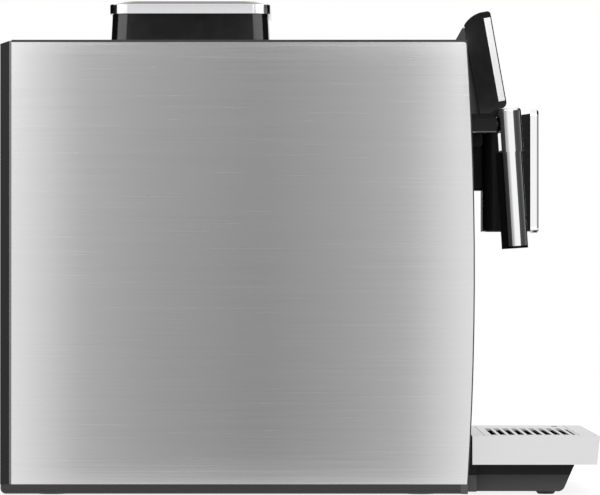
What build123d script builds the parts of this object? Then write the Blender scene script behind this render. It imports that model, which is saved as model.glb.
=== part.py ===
from build123d import *
import os
from math import atan2, cos, pi, radians, sin, sqrt

os.makedirs("parts", exist_ok=True)

# Bean to cup coffee machine, in millimetres.
# X runs to the right of someone facing the machine, Y runs to the back and Z runs up from the table.
# The origin is on the table, under the middle of the machine with its drip tray.

# Overall size
width = 300.0
depth = 456.0
height = 381.0
half_width = width / 2
rear_y = depth / 2
front_y = -depth / 2

# Heights of the casing's main lines
foot_gap = 1.0
panel_bottom = 8.4
panel_top = 344.5
deck_top = 346.3

# Bowed front of the casing, as distances ahead of the origin
bow_top = 126.3
bow_middle = 132.0
bow_bottom = 126.9

# Clearances and cuts
overrun = 5.0
gap = 0.5
running = 0.05
slide_gap = 0.3

# Lengthwise places inside the casing, from the rear forward: tank, hopper and grinder, brew unit
rear_trim = 8.6
panel_rear_y = rear_y - rear_trim
tank_half_y = 25.5
tank_lid_half_y = 28.0
tank_margin = 4.4
hopper_half = 62.0
deck_bridge = 11.0
brew_spacing = 106.0
frame_tank_gap = 9.5
frame_front_reach = 8.0
tongue_frame_gap = 2.0
tank_y = panel_rear_y - tank_margin - tank_lid_half_y
hopper_y = tank_y - tank_lid_half_y - deck_bridge - hopper_half
brew_y = hopper_y - brew_spacing
frame_rear_y = tank_y - tank_half_y - frame_tank_gap
frame_front_y = brew_y - frame_front_reach


def save(builder, label):
    """Label a finished piece and write it to a STEP file of its own."""
    builder.part.label = label
    export_step(builder.part, f"parts/{label}.step")


def block(x_span, y_span, z_span, mode=Mode.ADD):
    """A box between two values on each axis."""
    spans = (x_span, y_span, z_span)
    with Locations(tuple((low + high) / 2 for low, high in spans)):
        Box(*(high - low for low, high in spans), mode=mode)


def across(half):
    """A span that lies evenly on both sides of the middle."""
    return (-half, half)


def bow_points(forward):
    """Bottom, middle and top of the bowed front in the side view, moved forward."""
    return [
        (-bow_bottom - forward, panel_bottom),
        (-bow_middle - forward, (panel_bottom + panel_top) / 2),
        (-bow_top - forward, panel_top),
    ]


def bow_outline(outer, inner):
    """Outline of a bowed wall in the side view, between two surfaces moved forward."""
    low_out, mid_out, top_out = bow_points(outer)
    low_in, mid_in, top_in = bow_points(inner)
    ThreePointArc(low_out, mid_out, top_out)
    Line(top_out, top_in)
    ThreePointArc(top_in, mid_in, low_in)
    Line(low_in, low_out)


# Base pan: the black tub that carries the casing, seen as a thin skirt under the side panels
seam_y = -122.0
pan_wall = 3.0
pan_floor = 3.0
pan_rear_round = 4.0
pan_corner = 5.0
foot_radius = 11.0
foot_recess = 1.5
foot_spread = 118.0
pan_foot_front_y = -92.0
pan_foot_inset = 38.0
pan_foot_rear_y = rear_y - pan_foot_inset
air_slot_length = 46.0
air_slot_width = 4.0
air_slot_pitch = 11.0
air_slot_y = 60.0
air_slot_x = 70.0
air_slot_count = 7
pan_top = panel_bottom
pan_floor_top = foot_gap + pan_floor

with BuildPart() as base_pan:
    with BuildSketch(Plane.XY.offset(foot_gap)):
        with Locations((0, (rear_y + seam_y) / 2)):
            Rectangle(width, rear_y - seam_y)
    extrude(amount=pan_top - foot_gap)
    rear_face = base_pan.faces().sort_by(Axis.Y)[-1]
    fillet(rear_face.edges().filter_by(Axis.Z), pan_corner)
    rear_bottom = base_pan.edges().filter_by(Axis.X).group_by(Axis.Z)[0].sort_by(Axis.Y)[-1]
    fillet(rear_bottom, pan_rear_round)
    block(
        across(half_width - pan_wall),
        (seam_y + pan_wall, rear_y - pan_wall),
        (pan_floor_top, pan_top + overrun),
        mode=Mode.SUBTRACT,
    )
    with BuildSketch(Plane.XY.offset(foot_gap)):
        for side in (-1, 1):
            with Locations((side * air_slot_x, air_slot_y)):
                with GridLocations(air_slot_pitch, air_slot_pitch, 1, air_slot_count):
                    Rectangle(air_slot_length, air_slot_width)
    extrude(amount=pan_floor, mode=Mode.SUBTRACT)
    with BuildSketch(Plane.XY.offset(foot_gap)):
        for foot_y in (pan_foot_front_y, pan_foot_rear_y):
            with Locations((-foot_spread, foot_y), (foot_spread, foot_y)):
                Circle(foot_radius + slide_gap)
    extrude(amount=foot_recess, mode=Mode.SUBTRACT)
save(base_pan, "base_pan")


# Front base: the tongue that carries the drip tray, standing on two feet of its own
tray_bottom = 23.3
tray_rest = 23.0
tongue_half = 125.0
tongue_shoulder = 137.0
tongue_neck_y = -134.5
tongue_inset = 18.0
tongue_toe_slope = 7.8
tongue_toe_z = 5.4
tongue_sole_inset = 14.3
tongue_bottom = 2.2
tongue_wall = 3.0
tongue_rib_count = 5
skirt_front_y = -127.6
tongue_foot_radius = 7.8
tongue_foot_sole = 6.0
tongue_foot_inset = 22.0
tongue_front_y = front_y + tongue_inset
tongue_toe_y = tongue_front_y + tongue_toe_slope
tongue_sole_y = tongue_front_y + tongue_sole_inset
tongue_foot_y = tongue_front_y + tongue_foot_inset
tongue_inner_y = frame_front_y - tongue_frame_gap

with BuildPart() as front_base:
    with BuildSketch(Plane.YZ):
        with BuildLine():
            toe = Line((tongue_front_y, tray_rest), (tongue_toe_y, tongue_toe_z))
            TangentArc(toe @ 1, (tongue_sole_y, tongue_bottom), tangent=toe % 1)
            Polyline(
                (tongue_sole_y, tongue_bottom),
                (seam_y, tongue_bottom),
                (seam_y, pan_top),
                (tongue_inner_y, pan_top),
                (tongue_inner_y, tray_rest),
                (tongue_front_y, tray_rest),
            )
        make_face()
    extrude(amount=tongue_shoulder, both=True)
    for side in (-1, 1):
        block(
            sorted((side * tongue_half, side * (tongue_shoulder + overrun))),
            (tongue_front_y - overrun, tongue_neck_y),
            (0, tray_rest + overrun),
            mode=Mode.SUBTRACT,
        )
    pocket_z = (0, tray_rest - tongue_wall)
    pocket_y = (tongue_sole_y + tongue_foot_radius * 2 + tongue_wall, skirt_front_y - tongue_wall)
    for rib_x in range(tongue_rib_count + 1):
        start = -tongue_half + tongue_wall + rib_x * (tongue_half * 2 - tongue_wall) / (tongue_rib_count + 1)
        stop = start + (tongue_half * 2 - tongue_wall) / (tongue_rib_count + 1) - tongue_wall
        block((start, stop), pocket_y, pocket_z, mode=Mode.SUBTRACT)
    block(across(half_width), (skirt_front_y, seam_y), (foot_gap, pan_top))
save(front_base, "front_base")


# Feet: rubber discs under the pan and two smaller ones under the tongue
with BuildPart() as feet:
    with BuildSketch():
        for foot_y in (pan_foot_front_y, pan_foot_rear_y):
            with Locations((-foot_spread, foot_y), (foot_spread, foot_y)):
                Circle(foot_radius)
    extrude(amount=foot_gap + foot_recess)
    for side in (-1, 1):
        with BuildSketch(Plane.XY):
            with Locations((side * foot_spread, tongue_foot_y)):
                Circle(tongue_foot_sole)
        with BuildSketch(Plane.XY.offset(tongue_bottom)):
            with Locations((side * foot_spread, tongue_foot_y)):
                Circle(tongue_foot_radius)
        loft()
save(feet, "feet")


# Side panels: brushed sheet with folded flanges along the top and the rear
panel_wall = 1.5
panel_flange = 10.0
panel_nose = 2.0
flange_inset = 12.0

with BuildPart() as left_side_panel:
    with BuildSketch(Plane.YZ.offset(-half_width)):
        with BuildLine():
            low_front, mid_front, top_front = bow_points(0)
            ThreePointArc(low_front, mid_front, top_front)
            Polyline(top_front, (panel_rear_y, panel_top), (panel_rear_y, panel_bottom), low_front)
        make_face()
    extrude(amount=panel_wall)
    nose_edge = left_side_panel.edges().filter_by(Axis.X).group_by(Axis.Z)[-1].sort_by(Axis.Y)[0]
    fillet(nose_edge, panel_nose)
    inner_x = -half_width + panel_wall
    block(
        (inner_x, inner_x + panel_flange),
        (-bow_top + flange_inset, panel_rear_y - flange_inset),
        (panel_top - panel_wall, panel_top),
    )
    block(
        (inner_x, inner_x + panel_flange),
        (panel_rear_y - panel_wall, panel_rear_y),
        (panel_bottom + flange_inset, panel_top - flange_inset),
    )
save(left_side_panel, "left_side_panel")

with BuildPart() as right_side_panel:
    mirror(left_side_panel.part, about=Plane.YZ)
save(right_side_panel, "right_side_panel")


# Rear cover: moulded back with air slots, the mains inlet and the mains switch
cover_wall = 3.0
cover_top = 345.6
cover_chamfer_down = 2.5
cover_chamfer_forward = 7.2
cover_step = 0.7
cover_step_depth = 2.2
vent_length = 62.0
vent_height = 3.2
vent_pitch = 8.0
vent_count = 9
vent_x = 62.0
vent_z = 118.0
inlet_x = -66.0
inlet_z = 26.0
inlet_width = 28.0
inlet_height = 21.0
inlet_flange = 4.0
inlet_flange_wall = 1.5
switch_x = -106.0
switch_z = 26.0
switch_width = 13.0
switch_height = 19.6
switch_well_wall = 2.5
switch_well_depth = 15.0
switch_axis_depth = 6.4
switch_axis_y = rear_y - switch_axis_depth
switch_pin_radius = 1.6
screw_x = 136.0
screw_heights = (30.0, 176.0, 322.0)
screw_head_radius = 3.4
screw_head_height = 1.8
screw_shank_radius = 1.5
screw_length = 12.0

with BuildPart() as rear_cover:
    with BuildSketch(Plane.YZ):
        with BuildLine():
            Polyline(
                (panel_rear_y, pan_top),
                (rear_y, pan_top),
                (rear_y, cover_top - cover_chamfer_down),
                (rear_y - cover_chamfer_forward, cover_top),
                (panel_rear_y, cover_top),
                close=True,
            )
        make_face()
    extrude(amount=half_width, both=True)
    block(
        across(half_width - cover_wall),
        (panel_rear_y - overrun, rear_y - cover_wall),
        (pan_top - overrun, cover_top - cover_wall * 2),
        mode=Mode.SUBTRACT,
    )
    for side in (-1, 1):
        block(
            sorted((side * (half_width - cover_step), side * (half_width + overrun))),
            (panel_rear_y - overrun, panel_rear_y + cover_step_depth),
            (0, cover_top + overrun),
            mode=Mode.SUBTRACT,
        )
    block(
        (
            switch_x - switch_width / 2 - switch_well_wall,
            switch_x + switch_width / 2 + switch_well_wall,
        ),
        (rear_y - switch_well_depth, rear_y - cover_wall),
        (
            switch_z - switch_height / 2 - switch_well_wall,
            switch_z + switch_height / 2 + switch_well_wall,
        ),
    )
    block(
        (switch_x - switch_width / 2, switch_x + switch_width / 2),
        (rear_y - switch_well_depth + switch_well_wall, rear_y + overrun),
        (switch_z - switch_height / 2, switch_z + switch_height / 2),
        mode=Mode.SUBTRACT,
    )
    with Locations(Plane.YZ.offset(switch_x) * Location((switch_axis_y, switch_z))):
        Cylinder(
            switch_pin_radius + running, switch_width + switch_well_wall, mode=Mode.SUBTRACT
        )
    with BuildSketch(Plane.XZ.offset(-rear_y)):
        with Locations((vent_x, vent_z), (-vent_x, vent_z)):
            with GridLocations(vent_pitch, vent_pitch, 1, vent_count):
                Rectangle(vent_length, vent_height)
    extrude(amount=cover_wall, mode=Mode.SUBTRACT)
    with BuildSketch(Plane.XZ.offset(-rear_y)):
        with Locations((inlet_x, inlet_z)):
            Rectangle(inlet_width, inlet_height)
    extrude(amount=cover_wall, mode=Mode.SUBTRACT)
    with BuildSketch(Plane.XZ.offset(-rear_y)):
        with Locations((inlet_x, inlet_z)):
            Rectangle(inlet_width + inlet_flange * 2, inlet_height + inlet_flange)
    extrude(amount=inlet_flange_wall, mode=Mode.SUBTRACT)
    with BuildSketch(Plane.XZ.offset(-rear_y)):
        for side in (-1, 1):
            with Locations(*((side * screw_x, level) for level in screw_heights)):
                Circle(screw_head_radius + slide_gap)
    extrude(amount=screw_head_height, mode=Mode.SUBTRACT)
    with BuildSketch(Plane.XZ.offset(-rear_y)):
        for side in (-1, 1):
            with Locations(*((side * screw_x, level) for level in screw_heights)):
                Circle(screw_shank_radius + slide_gap)
    extrude(amount=cover_wall, mode=Mode.SUBTRACT)
save(rear_cover, "rear_cover")

with BuildPart() as cover_screws:
    with BuildSketch(Plane.XZ.offset(-rear_y)):
        for side in (-1, 1):
            with Locations(*((side * screw_x, level) for level in screw_heights)):
                Circle(screw_head_radius)
    extrude(amount=screw_head_height)
    with BuildSketch(Plane.XZ.offset(-rear_y)):
        for side in (-1, 1):
            with Locations(*((side * screw_x, level) for level in screw_heights)):
                Circle(screw_shank_radius)
    extrude(amount=screw_length)
save(cover_screws, "cover_screws")


# Mains inlet: three-pin socket for a removable mains lead
inlet_depth = 22.0
inlet_well_width = 24.0
inlet_well_height = 16.5
inlet_well_depth = 16.0
inlet_well_chamfer = 4.0
inlet_pin_length = 14.0
inlet_pin_thick = 2.0
inlet_pin_wide = 4.0
inlet_pin_spread = 7.0
inlet_pin_drop = 2.6
inlet_earth_rise = 3.6

with BuildPart() as mains_inlet:
    with BuildSketch(Plane.XZ.offset(-rear_y)):
        with Locations((inlet_x, inlet_z)):
            Rectangle(inlet_width + inlet_flange * 2 - gap, inlet_height + inlet_flange - gap)
    extrude(amount=inlet_flange_wall)
    with BuildSketch(Plane.XZ.offset(-rear_y)):
        with Locations((inlet_x, inlet_z)):
            Rectangle(inlet_width - gap, inlet_height - gap)
    extrude(amount=inlet_depth)
    with BuildSketch(Plane.XZ.offset(-rear_y)):
        with Locations((inlet_x, inlet_z)):
            well = Rectangle(inlet_well_width, inlet_well_height)
        chamfer(well.vertices().group_by(Axis.Y)[-1], inlet_well_chamfer)
    extrude(amount=inlet_well_depth, mode=Mode.SUBTRACT)
    with BuildSketch(Plane.XZ.offset(inlet_well_depth - rear_y)):
        for side in (-1, 1):
            with Locations((inlet_x + side * inlet_pin_spread, inlet_z - inlet_pin_drop)):
                Rectangle(inlet_pin_thick, inlet_pin_wide)
        with Locations((inlet_x, inlet_z + inlet_earth_rise)):
            Rectangle(inlet_pin_thick, inlet_pin_wide)
    extrude(amount=-inlet_pin_length)
save(mains_inlet, "mains_inlet")


# Mains switch: a rocker on two stub pins in the rear cover
rocker_tilt = 6.0
rocker_half_height = 8.9
rocker_half_width = switch_width / 2 - slide_gap
rocker_edge_y = 5.2
rocker_valley_y = 4.2
rocker_back_y = -4.6
rocker_back_half = 4.0

with BuildPart() as rocker_switch:
    rocker_plane = Plane(
        origin=(switch_x, switch_axis_y, switch_z),
        x_dir=(0, cos(radians(rocker_tilt)), sin(radians(rocker_tilt))),
        z_dir=(1, 0, 0),
    )
    with BuildSketch(rocker_plane):
        with BuildLine():
            Polyline(
                (rocker_edge_y, rocker_half_height),
                (rocker_valley_y, 0),
                (rocker_edge_y, -rocker_half_height),
                (0, -rocker_half_height),
                (rocker_back_y, -rocker_back_half),
                (rocker_back_y, rocker_back_half),
                (0, rocker_half_height),
                close=True,
            )
        make_face()
    extrude(amount=rocker_half_width, both=True)
    with BuildSketch(rocker_plane):
        Circle(switch_pin_radius)
    extrude(amount=switch_width / 2 + switch_well_wall / 2 - slide_gap, both=True)
save(rocker_switch, "rocker_switch")


# Display head: place, tilt and side profile, shared with the fascia's neck that carries it
head_half = 105.0
head_tilt = 10.2
head_y = -152.45
head_z = 334.6
head_top = 36.7
head_low = 38.8
head_thick = 21.6
head_crown_start = 7.5
head_crown_middle = 15.4
head_crown_drop = 2.4
head_crown_end = 7.3
head_chin_start = 8.8
head_chin_end = 14.1
head_chin_drop = 2.6
head_under_z = 291.5
neck_half = 98.0
neck_top = 9.0

head_back = (0, cos(radians(head_tilt)), -sin(radians(head_tilt)))
head_out = (0, -cos(radians(head_tilt)), sin(radians(head_tilt)))
head_side = Plane(origin=(0, head_y, head_z), x_dir=head_back, z_dir=(1, 0, 0))
head_front = Plane(origin=(0, head_y, head_z), x_dir=(1, 0, 0), z_dir=head_out)


# Top cover: the black deck with openings for the hopper, the tank, the powder chute and the grind dial
deck_wall = 3.0
deck_nose = 1.0
deck_front_y = -bow_top - deck_nose
rim_wall = 2.0
rim_depth = 9.0
hopper_corner = 12.0
tank_half_x = 108.0
tank_lid_half_x = 110.0
tank_lid_ear = 4.0
powder_y = brew_y
powder_half_x = 24.0
powder_half_y = 20.0
dial_spacing = 20.0
dial_forward = 34.0
dial_x = hopper_half + dial_spacing
dial_y = hopper_y - dial_forward
dial_radius = 14.0
dial_well_depth = 14.0
dial_well_floor = 2.0
dial_shaft_radius = 4.0
wedge_half = 104.5
wedge_rear_y = -118.3
wedge_peak_y = -124.6
wedge_peak_z = 357.4
cup_rib_width = 3.0
cup_rib_height = 0.8
cup_rib_front_gap = 22.3
cup_rib_rear_gap = 11.0
cup_rib_pitch = 14.0
cup_rib_count = 7
cup_rib_x = 88.0
cup_rib_front_y = deck_front_y + cup_rib_front_gap
cup_rib_rear_y = brew_y - cup_rib_rear_gap
lid_thick = 3.5
lid_axis_z = deck_top - lid_thick / 2
lid_pin_radius = 1.2
lid_pin_seat = 1.5
under_deck = panel_top - deck_wall


def opening(x, y, half_x, half_y, corner=0.0):
    """Plan of an opening in the deck, with rounded corners where it has any."""
    with Locations((x, y)):
        if corner:
            RectangleRounded(half_x * 2, half_y * 2, corner)
        else:
            Rectangle(half_x * 2, half_y * 2)


with BuildPart() as top_cover:
    with BuildSketch(Plane.XY.offset(panel_top)):
        with Locations((0, (panel_rear_y + deck_front_y) / 2)):
            Rectangle(width, panel_rear_y - deck_front_y)
    extrude(amount=deck_top - panel_top)
    block(
        across(half_width - panel_wall - panel_flange - gap),
        (-bow_top + flange_inset, panel_rear_y - gap),
        (under_deck, panel_top),
    )
    with BuildSketch(Plane.XY.offset(panel_top)):
        opening(0, tank_y, tank_lid_half_x + tank_lid_ear + rim_wall, tank_lid_half_y + rim_wall)
        opening(0, powder_y, powder_half_x + rim_wall, powder_half_y + rim_wall)
    extrude(amount=-rim_depth)
    with BuildSketch(Plane.XY.offset(panel_top - dial_well_depth - dial_well_floor)):
        with Locations((dial_x, dial_y)):
            Circle(dial_radius + gap + rim_wall)
    extrude(amount=dial_well_depth + dial_well_floor)
    with BuildSketch(Plane.YZ):
        with BuildLine():
            Polyline(
                (wedge_rear_y, deck_top),
                (wedge_peak_y, wedge_peak_z),
                (deck_front_y, wedge_peak_z),
                (deck_front_y, deck_top),
                close=True,
            )
        make_face()
    extrude(amount=wedge_half, both=True)
    with BuildSketch(head_side):
        with Locations((head_thick / 2, 0)):
            Rectangle(head_thick, head_top * 2)
    extrude(amount=wedge_half, both=True, mode=Mode.SUBTRACT)
    for side in (-1, 1):
        with BuildSketch(Plane.XY.offset(deck_top)):
            with Locations((side * cup_rib_x, (cup_rib_front_y + cup_rib_rear_y) / 2)):
                with GridLocations(cup_rib_pitch, cup_rib_pitch, cup_rib_count, 1):
                    Rectangle(cup_rib_width, cup_rib_rear_y - cup_rib_front_y)
        extrude(amount=-cup_rib_height, mode=Mode.SUBTRACT)
    with BuildSketch(Plane.XY.offset(deck_top + overrun)):
        opening(0, hopper_y, hopper_half + gap, hopper_half + gap, hopper_corner)
        opening(0, tank_y, tank_lid_half_x + tank_lid_ear, tank_lid_half_y)
        opening(0, powder_y, powder_half_x, powder_half_y)
    extrude(amount=-(overrun + deck_top - panel_top + rim_depth), mode=Mode.SUBTRACT)
    with BuildSketch(Plane.XY.offset(deck_top)):
        with Locations((dial_x, dial_y)):
            Circle(dial_radius + gap)
    extrude(amount=panel_top - dial_well_depth - deck_top, mode=Mode.SUBTRACT)
    with Locations((dial_x, dial_y, panel_top - dial_well_depth)):
        Cylinder(dial_shaft_radius + running, rim_depth, mode=Mode.SUBTRACT)
    powder_axis_y = powder_y + powder_half_y - lid_thick / 2 - slide_gap
    with Locations(Plane.YZ * Location((powder_axis_y, lid_axis_z))):
        Cylinder(
            lid_pin_radius + running, powder_half_x * 2 + lid_pin_seat * 2, mode=Mode.SUBTRACT
        )
save(top_cover, "top_cover")


# Powder lid: a flush flap with its round rear edge on the hinge line
powder_lid_half_x = powder_half_x - slide_gap
powder_lid_front_y = powder_y - powder_half_y + gap
lid_grip_radius = 7.0
lid_grip_depth = 1.6

with BuildPart() as powder_lid:
    with BuildSketch(Plane.YZ):
        with BuildLine():
            Polyline(
                (powder_axis_y, lid_axis_z - lid_thick / 2),
                (powder_lid_front_y, lid_axis_z - lid_thick / 2),
                (powder_lid_front_y, deck_top),
            )
            Line((powder_lid_front_y, deck_top), (powder_axis_y, deck_top))
            ThreePointArc(
                (powder_axis_y, deck_top),
                (powder_axis_y + lid_thick / 2, lid_axis_z),
                (powder_axis_y, lid_axis_z - lid_thick / 2),
            )
        make_face()
    extrude(amount=powder_lid_half_x, both=True)
    with BuildSketch(Plane.YZ.offset(powder_lid_half_x - lid_pin_radius)):
        with Locations((powder_axis_y, lid_axis_z)):
            Circle(lid_pin_radius)
    extrude(amount=lid_pin_radius + slide_gap + rim_wall / 2)
    with BuildSketch(Plane.YZ.offset(lid_pin_radius - powder_lid_half_x)):
        with Locations((powder_axis_y, lid_axis_z)):
            Circle(lid_pin_radius)
    extrude(amount=-(lid_pin_radius + slide_gap + rim_wall / 2))
    with BuildSketch(Plane.XY.offset(deck_top)):
        with Locations((0, powder_lid_front_y)):
            Circle(lid_grip_radius)
    extrude(amount=-lid_grip_depth, mode=Mode.SUBTRACT)
save(powder_lid, "powder_lid")


# Grind dial: knurled knob sunk in the deck, with a shaft down to the grinder's adjuster
dial_height = 14.0
dial_grip_count = 16
dial_grip_radius = 1.6
dial_grip_bite_share = 0.55
dial_pointer_length = 9.0
dial_pointer_width = 1.6
dial_pointer_depth = 0.8
adjuster_top = 300.0
dial_seat = panel_top - dial_well_depth

with BuildPart() as grind_dial:
    with BuildSketch(Plane.XY.offset(dial_seat)):
        with Locations((dial_x, dial_y)):
            Circle(dial_radius)
            with PolarLocations(dial_radius + dial_grip_radius * dial_grip_bite_share, dial_grip_count):
                Circle(dial_grip_radius, mode=Mode.SUBTRACT)
    extrude(amount=dial_height)
    with BuildSketch(Plane.XY.offset(adjuster_top)):
        with Locations((dial_x, dial_y)):
            Circle(dial_shaft_radius)
    extrude(amount=dial_seat - adjuster_top)
    with BuildSketch(Plane.XY.offset(dial_seat + dial_height)):
        with Locations((dial_x, dial_y + dial_radius - dial_pointer_length)):
            SlotOverall(dial_pointer_length, dial_pointer_width, rotation=90)
    extrude(amount=-dial_pointer_depth, mode=Mode.SUBTRACT)
save(grind_dial, "grind_dial")


# Front fascia: bowed front wall with the spout slot, the drawer mouth and the tray mouth
fascia_lip = 1.0
fascia_wall = 3.5
fascia_half = half_width - panel_wall - slide_gap
fascia_inner = fascia_lip - fascia_wall
tray_mouth_gap = 1.0
tray_mouth_half = tongue_shoulder + tray_mouth_gap
shelf_bottom = 46.2
shelf_top = 48.2
shelf_half = 82.0
shelf_overlap = 6.0
shelf_rear_y = frame_front_y + shelf_overlap
shelf_side = 4.0
bin_overlap = 2.0
bin_rear_y = frame_front_y + bin_overlap
drawer_half = 80.0
drawer_top = 104.0
arm_half = 8.5
arm_bottom = 234.0
arm_top = 276.4
spout_travel = 85.0
wand_x = -117.0
wand_pivot_z = 283.0
steam_pipe_radius = 3.0
rod_radius = 3.0
rod_spread = 20.0
rod_y = -110.0
rod_bottom = 138.0
rod_top = 287.0
bracket_half = 28.0
bracket_thick = 5.0
bracket_rear_y = -104.0

with BuildPart() as front_fascia:
    with BuildSketch(head_side):
        with BuildLine():
            Polyline(
                (head_thick, neck_top),
                (head_thick * 2, neck_top),
                (head_thick * 2, -head_low - head_thick),
                (head_thick, -head_low - head_thick),
                close=True,
            )
        make_face()
    extrude(amount=neck_half, both=True)
    block(
        across(half_width),
        (-bow_middle - head_thick * 2, 0),
        (0, head_under_z),
        mode=Mode.SUBTRACT,
    )
    with BuildSketch(Plane.YZ):
        with BuildLine():
            bow_outline(fascia_inner, -bow_bottom)
        make_face()
    extrude(amount=half_width, both=True, mode=Mode.SUBTRACT)
    with BuildSketch(Plane.YZ):
        with BuildLine():
            bow_outline(fascia_lip, fascia_inner)
        make_face()
    extrude(amount=fascia_half, both=True)
    block(
        across(shelf_half),
        (-bow_middle - fascia_inner, shelf_rear_y),
        (shelf_bottom, shelf_top),
    )
    for side in (-1, 1):
        block(
            sorted((side * (shelf_half - rim_wall), side * shelf_half)),
            (-bow_middle - fascia_inner, shelf_rear_y),
            (shelf_top, shelf_top + shelf_side),
        )
    block(
        across(shelf_half),
        (bin_rear_y + running, shelf_rear_y),
        (shelf_top, shelf_top + shelf_side),
    )
    for level in (rod_bottom, rod_top - bracket_thick):
        block(
            across(bracket_half),
            (-bow_middle - fascia_inner, bracket_rear_y),
            (level, level + bracket_thick),
        )
    with BuildSketch(Plane.XY.offset(rod_bottom)):
        with Locations((-rod_spread, rod_y), (rod_spread, rod_y)):
            Circle(rod_radius)
    extrude(amount=rod_top - rod_bottom, mode=Mode.SUBTRACT)
    block(
        across(tray_mouth_half),
        (-bow_middle - overrun, -bow_bottom + overrun),
        (0, shelf_bottom),
        mode=Mode.SUBTRACT,
    )
    block(
        across(drawer_half),
        (-bow_middle - overrun, -bow_bottom + overrun),
        (shelf_top, drawer_top),
        mode=Mode.SUBTRACT,
    )
    block(
        across(arm_half + gap),
        (-bow_middle - overrun, -bow_bottom + overrun),
        (arm_bottom - spout_travel - gap * 2, arm_top + gap),
        mode=Mode.SUBTRACT,
    )
    with BuildSketch(Plane.XZ.offset(bow_middle + overrun)):
        with Locations((wand_x, wand_pivot_z)):
            Circle(steam_pipe_radius + slide_gap)
    extrude(amount=-overrun - bow_middle, mode=Mode.SUBTRACT)
save(front_fascia, "front_fascia")

with BuildPart() as spout_guide_rods:
    with BuildSketch(Plane.XY.offset(rod_bottom)):
        with Locations((-rod_spread, rod_y), (rod_spread, rod_y)):
            Circle(rod_radius)
    extrude(amount=rod_top - rod_bottom)
save(spout_guide_rods, "spout_guide_rods")


# Inner frame: folded sheet that carries the grinder, the heaters and the brew unit
frame_sheet = 2.0
frame_dial_gap = 16.0
frame_half = dial_x + frame_dial_gap
frame_top = 326.0
cross_spacing = 33.0
cross_y = brew_y + cross_spacing
cross_bottom = 112.0
grinder_shelf = 236.0
frame_window_radius = 22.0
frame_window_z = 90.0
pump_x = -52.0
pump_z = 33.0
hose_radius = 3.0
gear_module = 1.5
gear_teeth = 36
pinion_teeth = 12
gear_spacing = gear_module * (gear_teeth + pinion_teeth) / 2
burr_shaft_radius = 4.0
motor_y = hopper_y - gear_spacing
motor_boss_radius = 7.0
chute_half = 15.0
chute_wall = 1.6
chute_window_bottom = 241.0
chute_window_top = 276.0
grinder_axis = Axis((0, hopper_y, 0), (0, 0, 1))
grinder_plane = Plane(origin=(0, hopper_y, 0), x_dir=(1, 0, 0), z_dir=(0, -1, 0))

with BuildPart() as inner_frame:
    for side in (-1, 1):
        block(
            sorted((side * frame_half, side * (frame_half + frame_sheet))),
            (frame_front_y, frame_rear_y),
            (pan_floor_top, frame_top),
        )
    block(
        across(frame_half + frame_sheet),
        (frame_rear_y, frame_rear_y + frame_sheet),
        (pan_floor_top, frame_top),
    )
    block(across(frame_half), (cross_y, cross_y + frame_sheet), (cross_bottom, frame_top))
    block(
        across(frame_half),
        (cross_y + frame_sheet, frame_rear_y),
        (grinder_shelf - frame_sheet, grinder_shelf),
    )
    with BuildSketch(Plane.XZ.offset(-frame_rear_y - frame_sheet)):
        with Locations((pump_x, pump_z)):
            Circle(hose_radius + slide_gap)
    extrude(amount=frame_sheet, mode=Mode.SUBTRACT)
    with BuildSketch(Plane.YZ):
        with Locations((hopper_y, frame_window_z)):
            Circle(frame_window_radius)
    extrude(amount=frame_half + frame_sheet, both=True, mode=Mode.SUBTRACT)
    with BuildSketch(Plane.XY.offset(grinder_shelf)):
        with Locations((0, hopper_y)):
            Circle(burr_shaft_radius + running)
        with Locations((0, motor_y)):
            Circle(motor_boss_radius + slide_gap)
    extrude(amount=-frame_sheet, mode=Mode.SUBTRACT)
    block(
        across(chute_half + chute_wall + gap),
        (cross_y - overrun, cross_y + overrun),
        (chute_window_bottom, chute_window_top),
        mode=Mode.SUBTRACT,
    )
save(inner_frame, "inner_frame")


# Bean hopper: open bin that drops through the deck and narrows to the grinder's throat
hopper_top = 370.7
hopper_wall = 2.5
hopper_draft = 1.5
hopper_flare_top = 340.0
hopper_throat_top = 320.0
throat_half = 19.0
throat_corner = 6.0
grinder_top = 314.0

with BuildPart() as bean_hopper:
    for inset, mode in ((0.0, Mode.ADD), (hopper_wall, Mode.SUBTRACT)):
        corner = hopper_corner - inset
        with BuildSketch(Plane.XY.offset(hopper_flare_top)):
            opening(0, hopper_y, hopper_half - inset, hopper_half - inset, corner)
        with BuildSketch(Plane.XY.offset(hopper_top)):
            top_half = hopper_half - hopper_draft - inset
            opening(0, hopper_y, top_half, top_half, corner)
        loft(mode=mode)
        with BuildSketch(Plane.XY.offset(hopper_throat_top)):
            opening(0, hopper_y, throat_half - inset, throat_half - inset, throat_corner - inset)
        with BuildSketch(Plane.XY.offset(hopper_flare_top)):
            opening(0, hopper_y, hopper_half - inset, hopper_half - inset, corner)
        loft(mode=mode)
        with BuildSketch(Plane.XY.offset(grinder_top)):
            opening(0, hopper_y, throat_half - inset, throat_half - inset, throat_corner - inset)
        extrude(amount=hopper_throat_top - grinder_top, mode=mode)
save(bean_hopper, "bean_hopper")


# Hopper lid: black cap with a chrome ring round its edge and a plug that drops into the bin
ring_bottom = 371.0
ring_top = 378.4
ring_over = 2.0
ring_wall = 2.2
lid_inset = 9.0
lid_plug_gap = 0.6
lid_plug_depth = 5.0
ring_half = hopper_half - hopper_draft + ring_over
ring_corner = hopper_corner + ring_over
lid_half = ring_half - ring_wall
plug_half = hopper_half - hopper_draft - hopper_wall - lid_plug_gap

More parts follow.
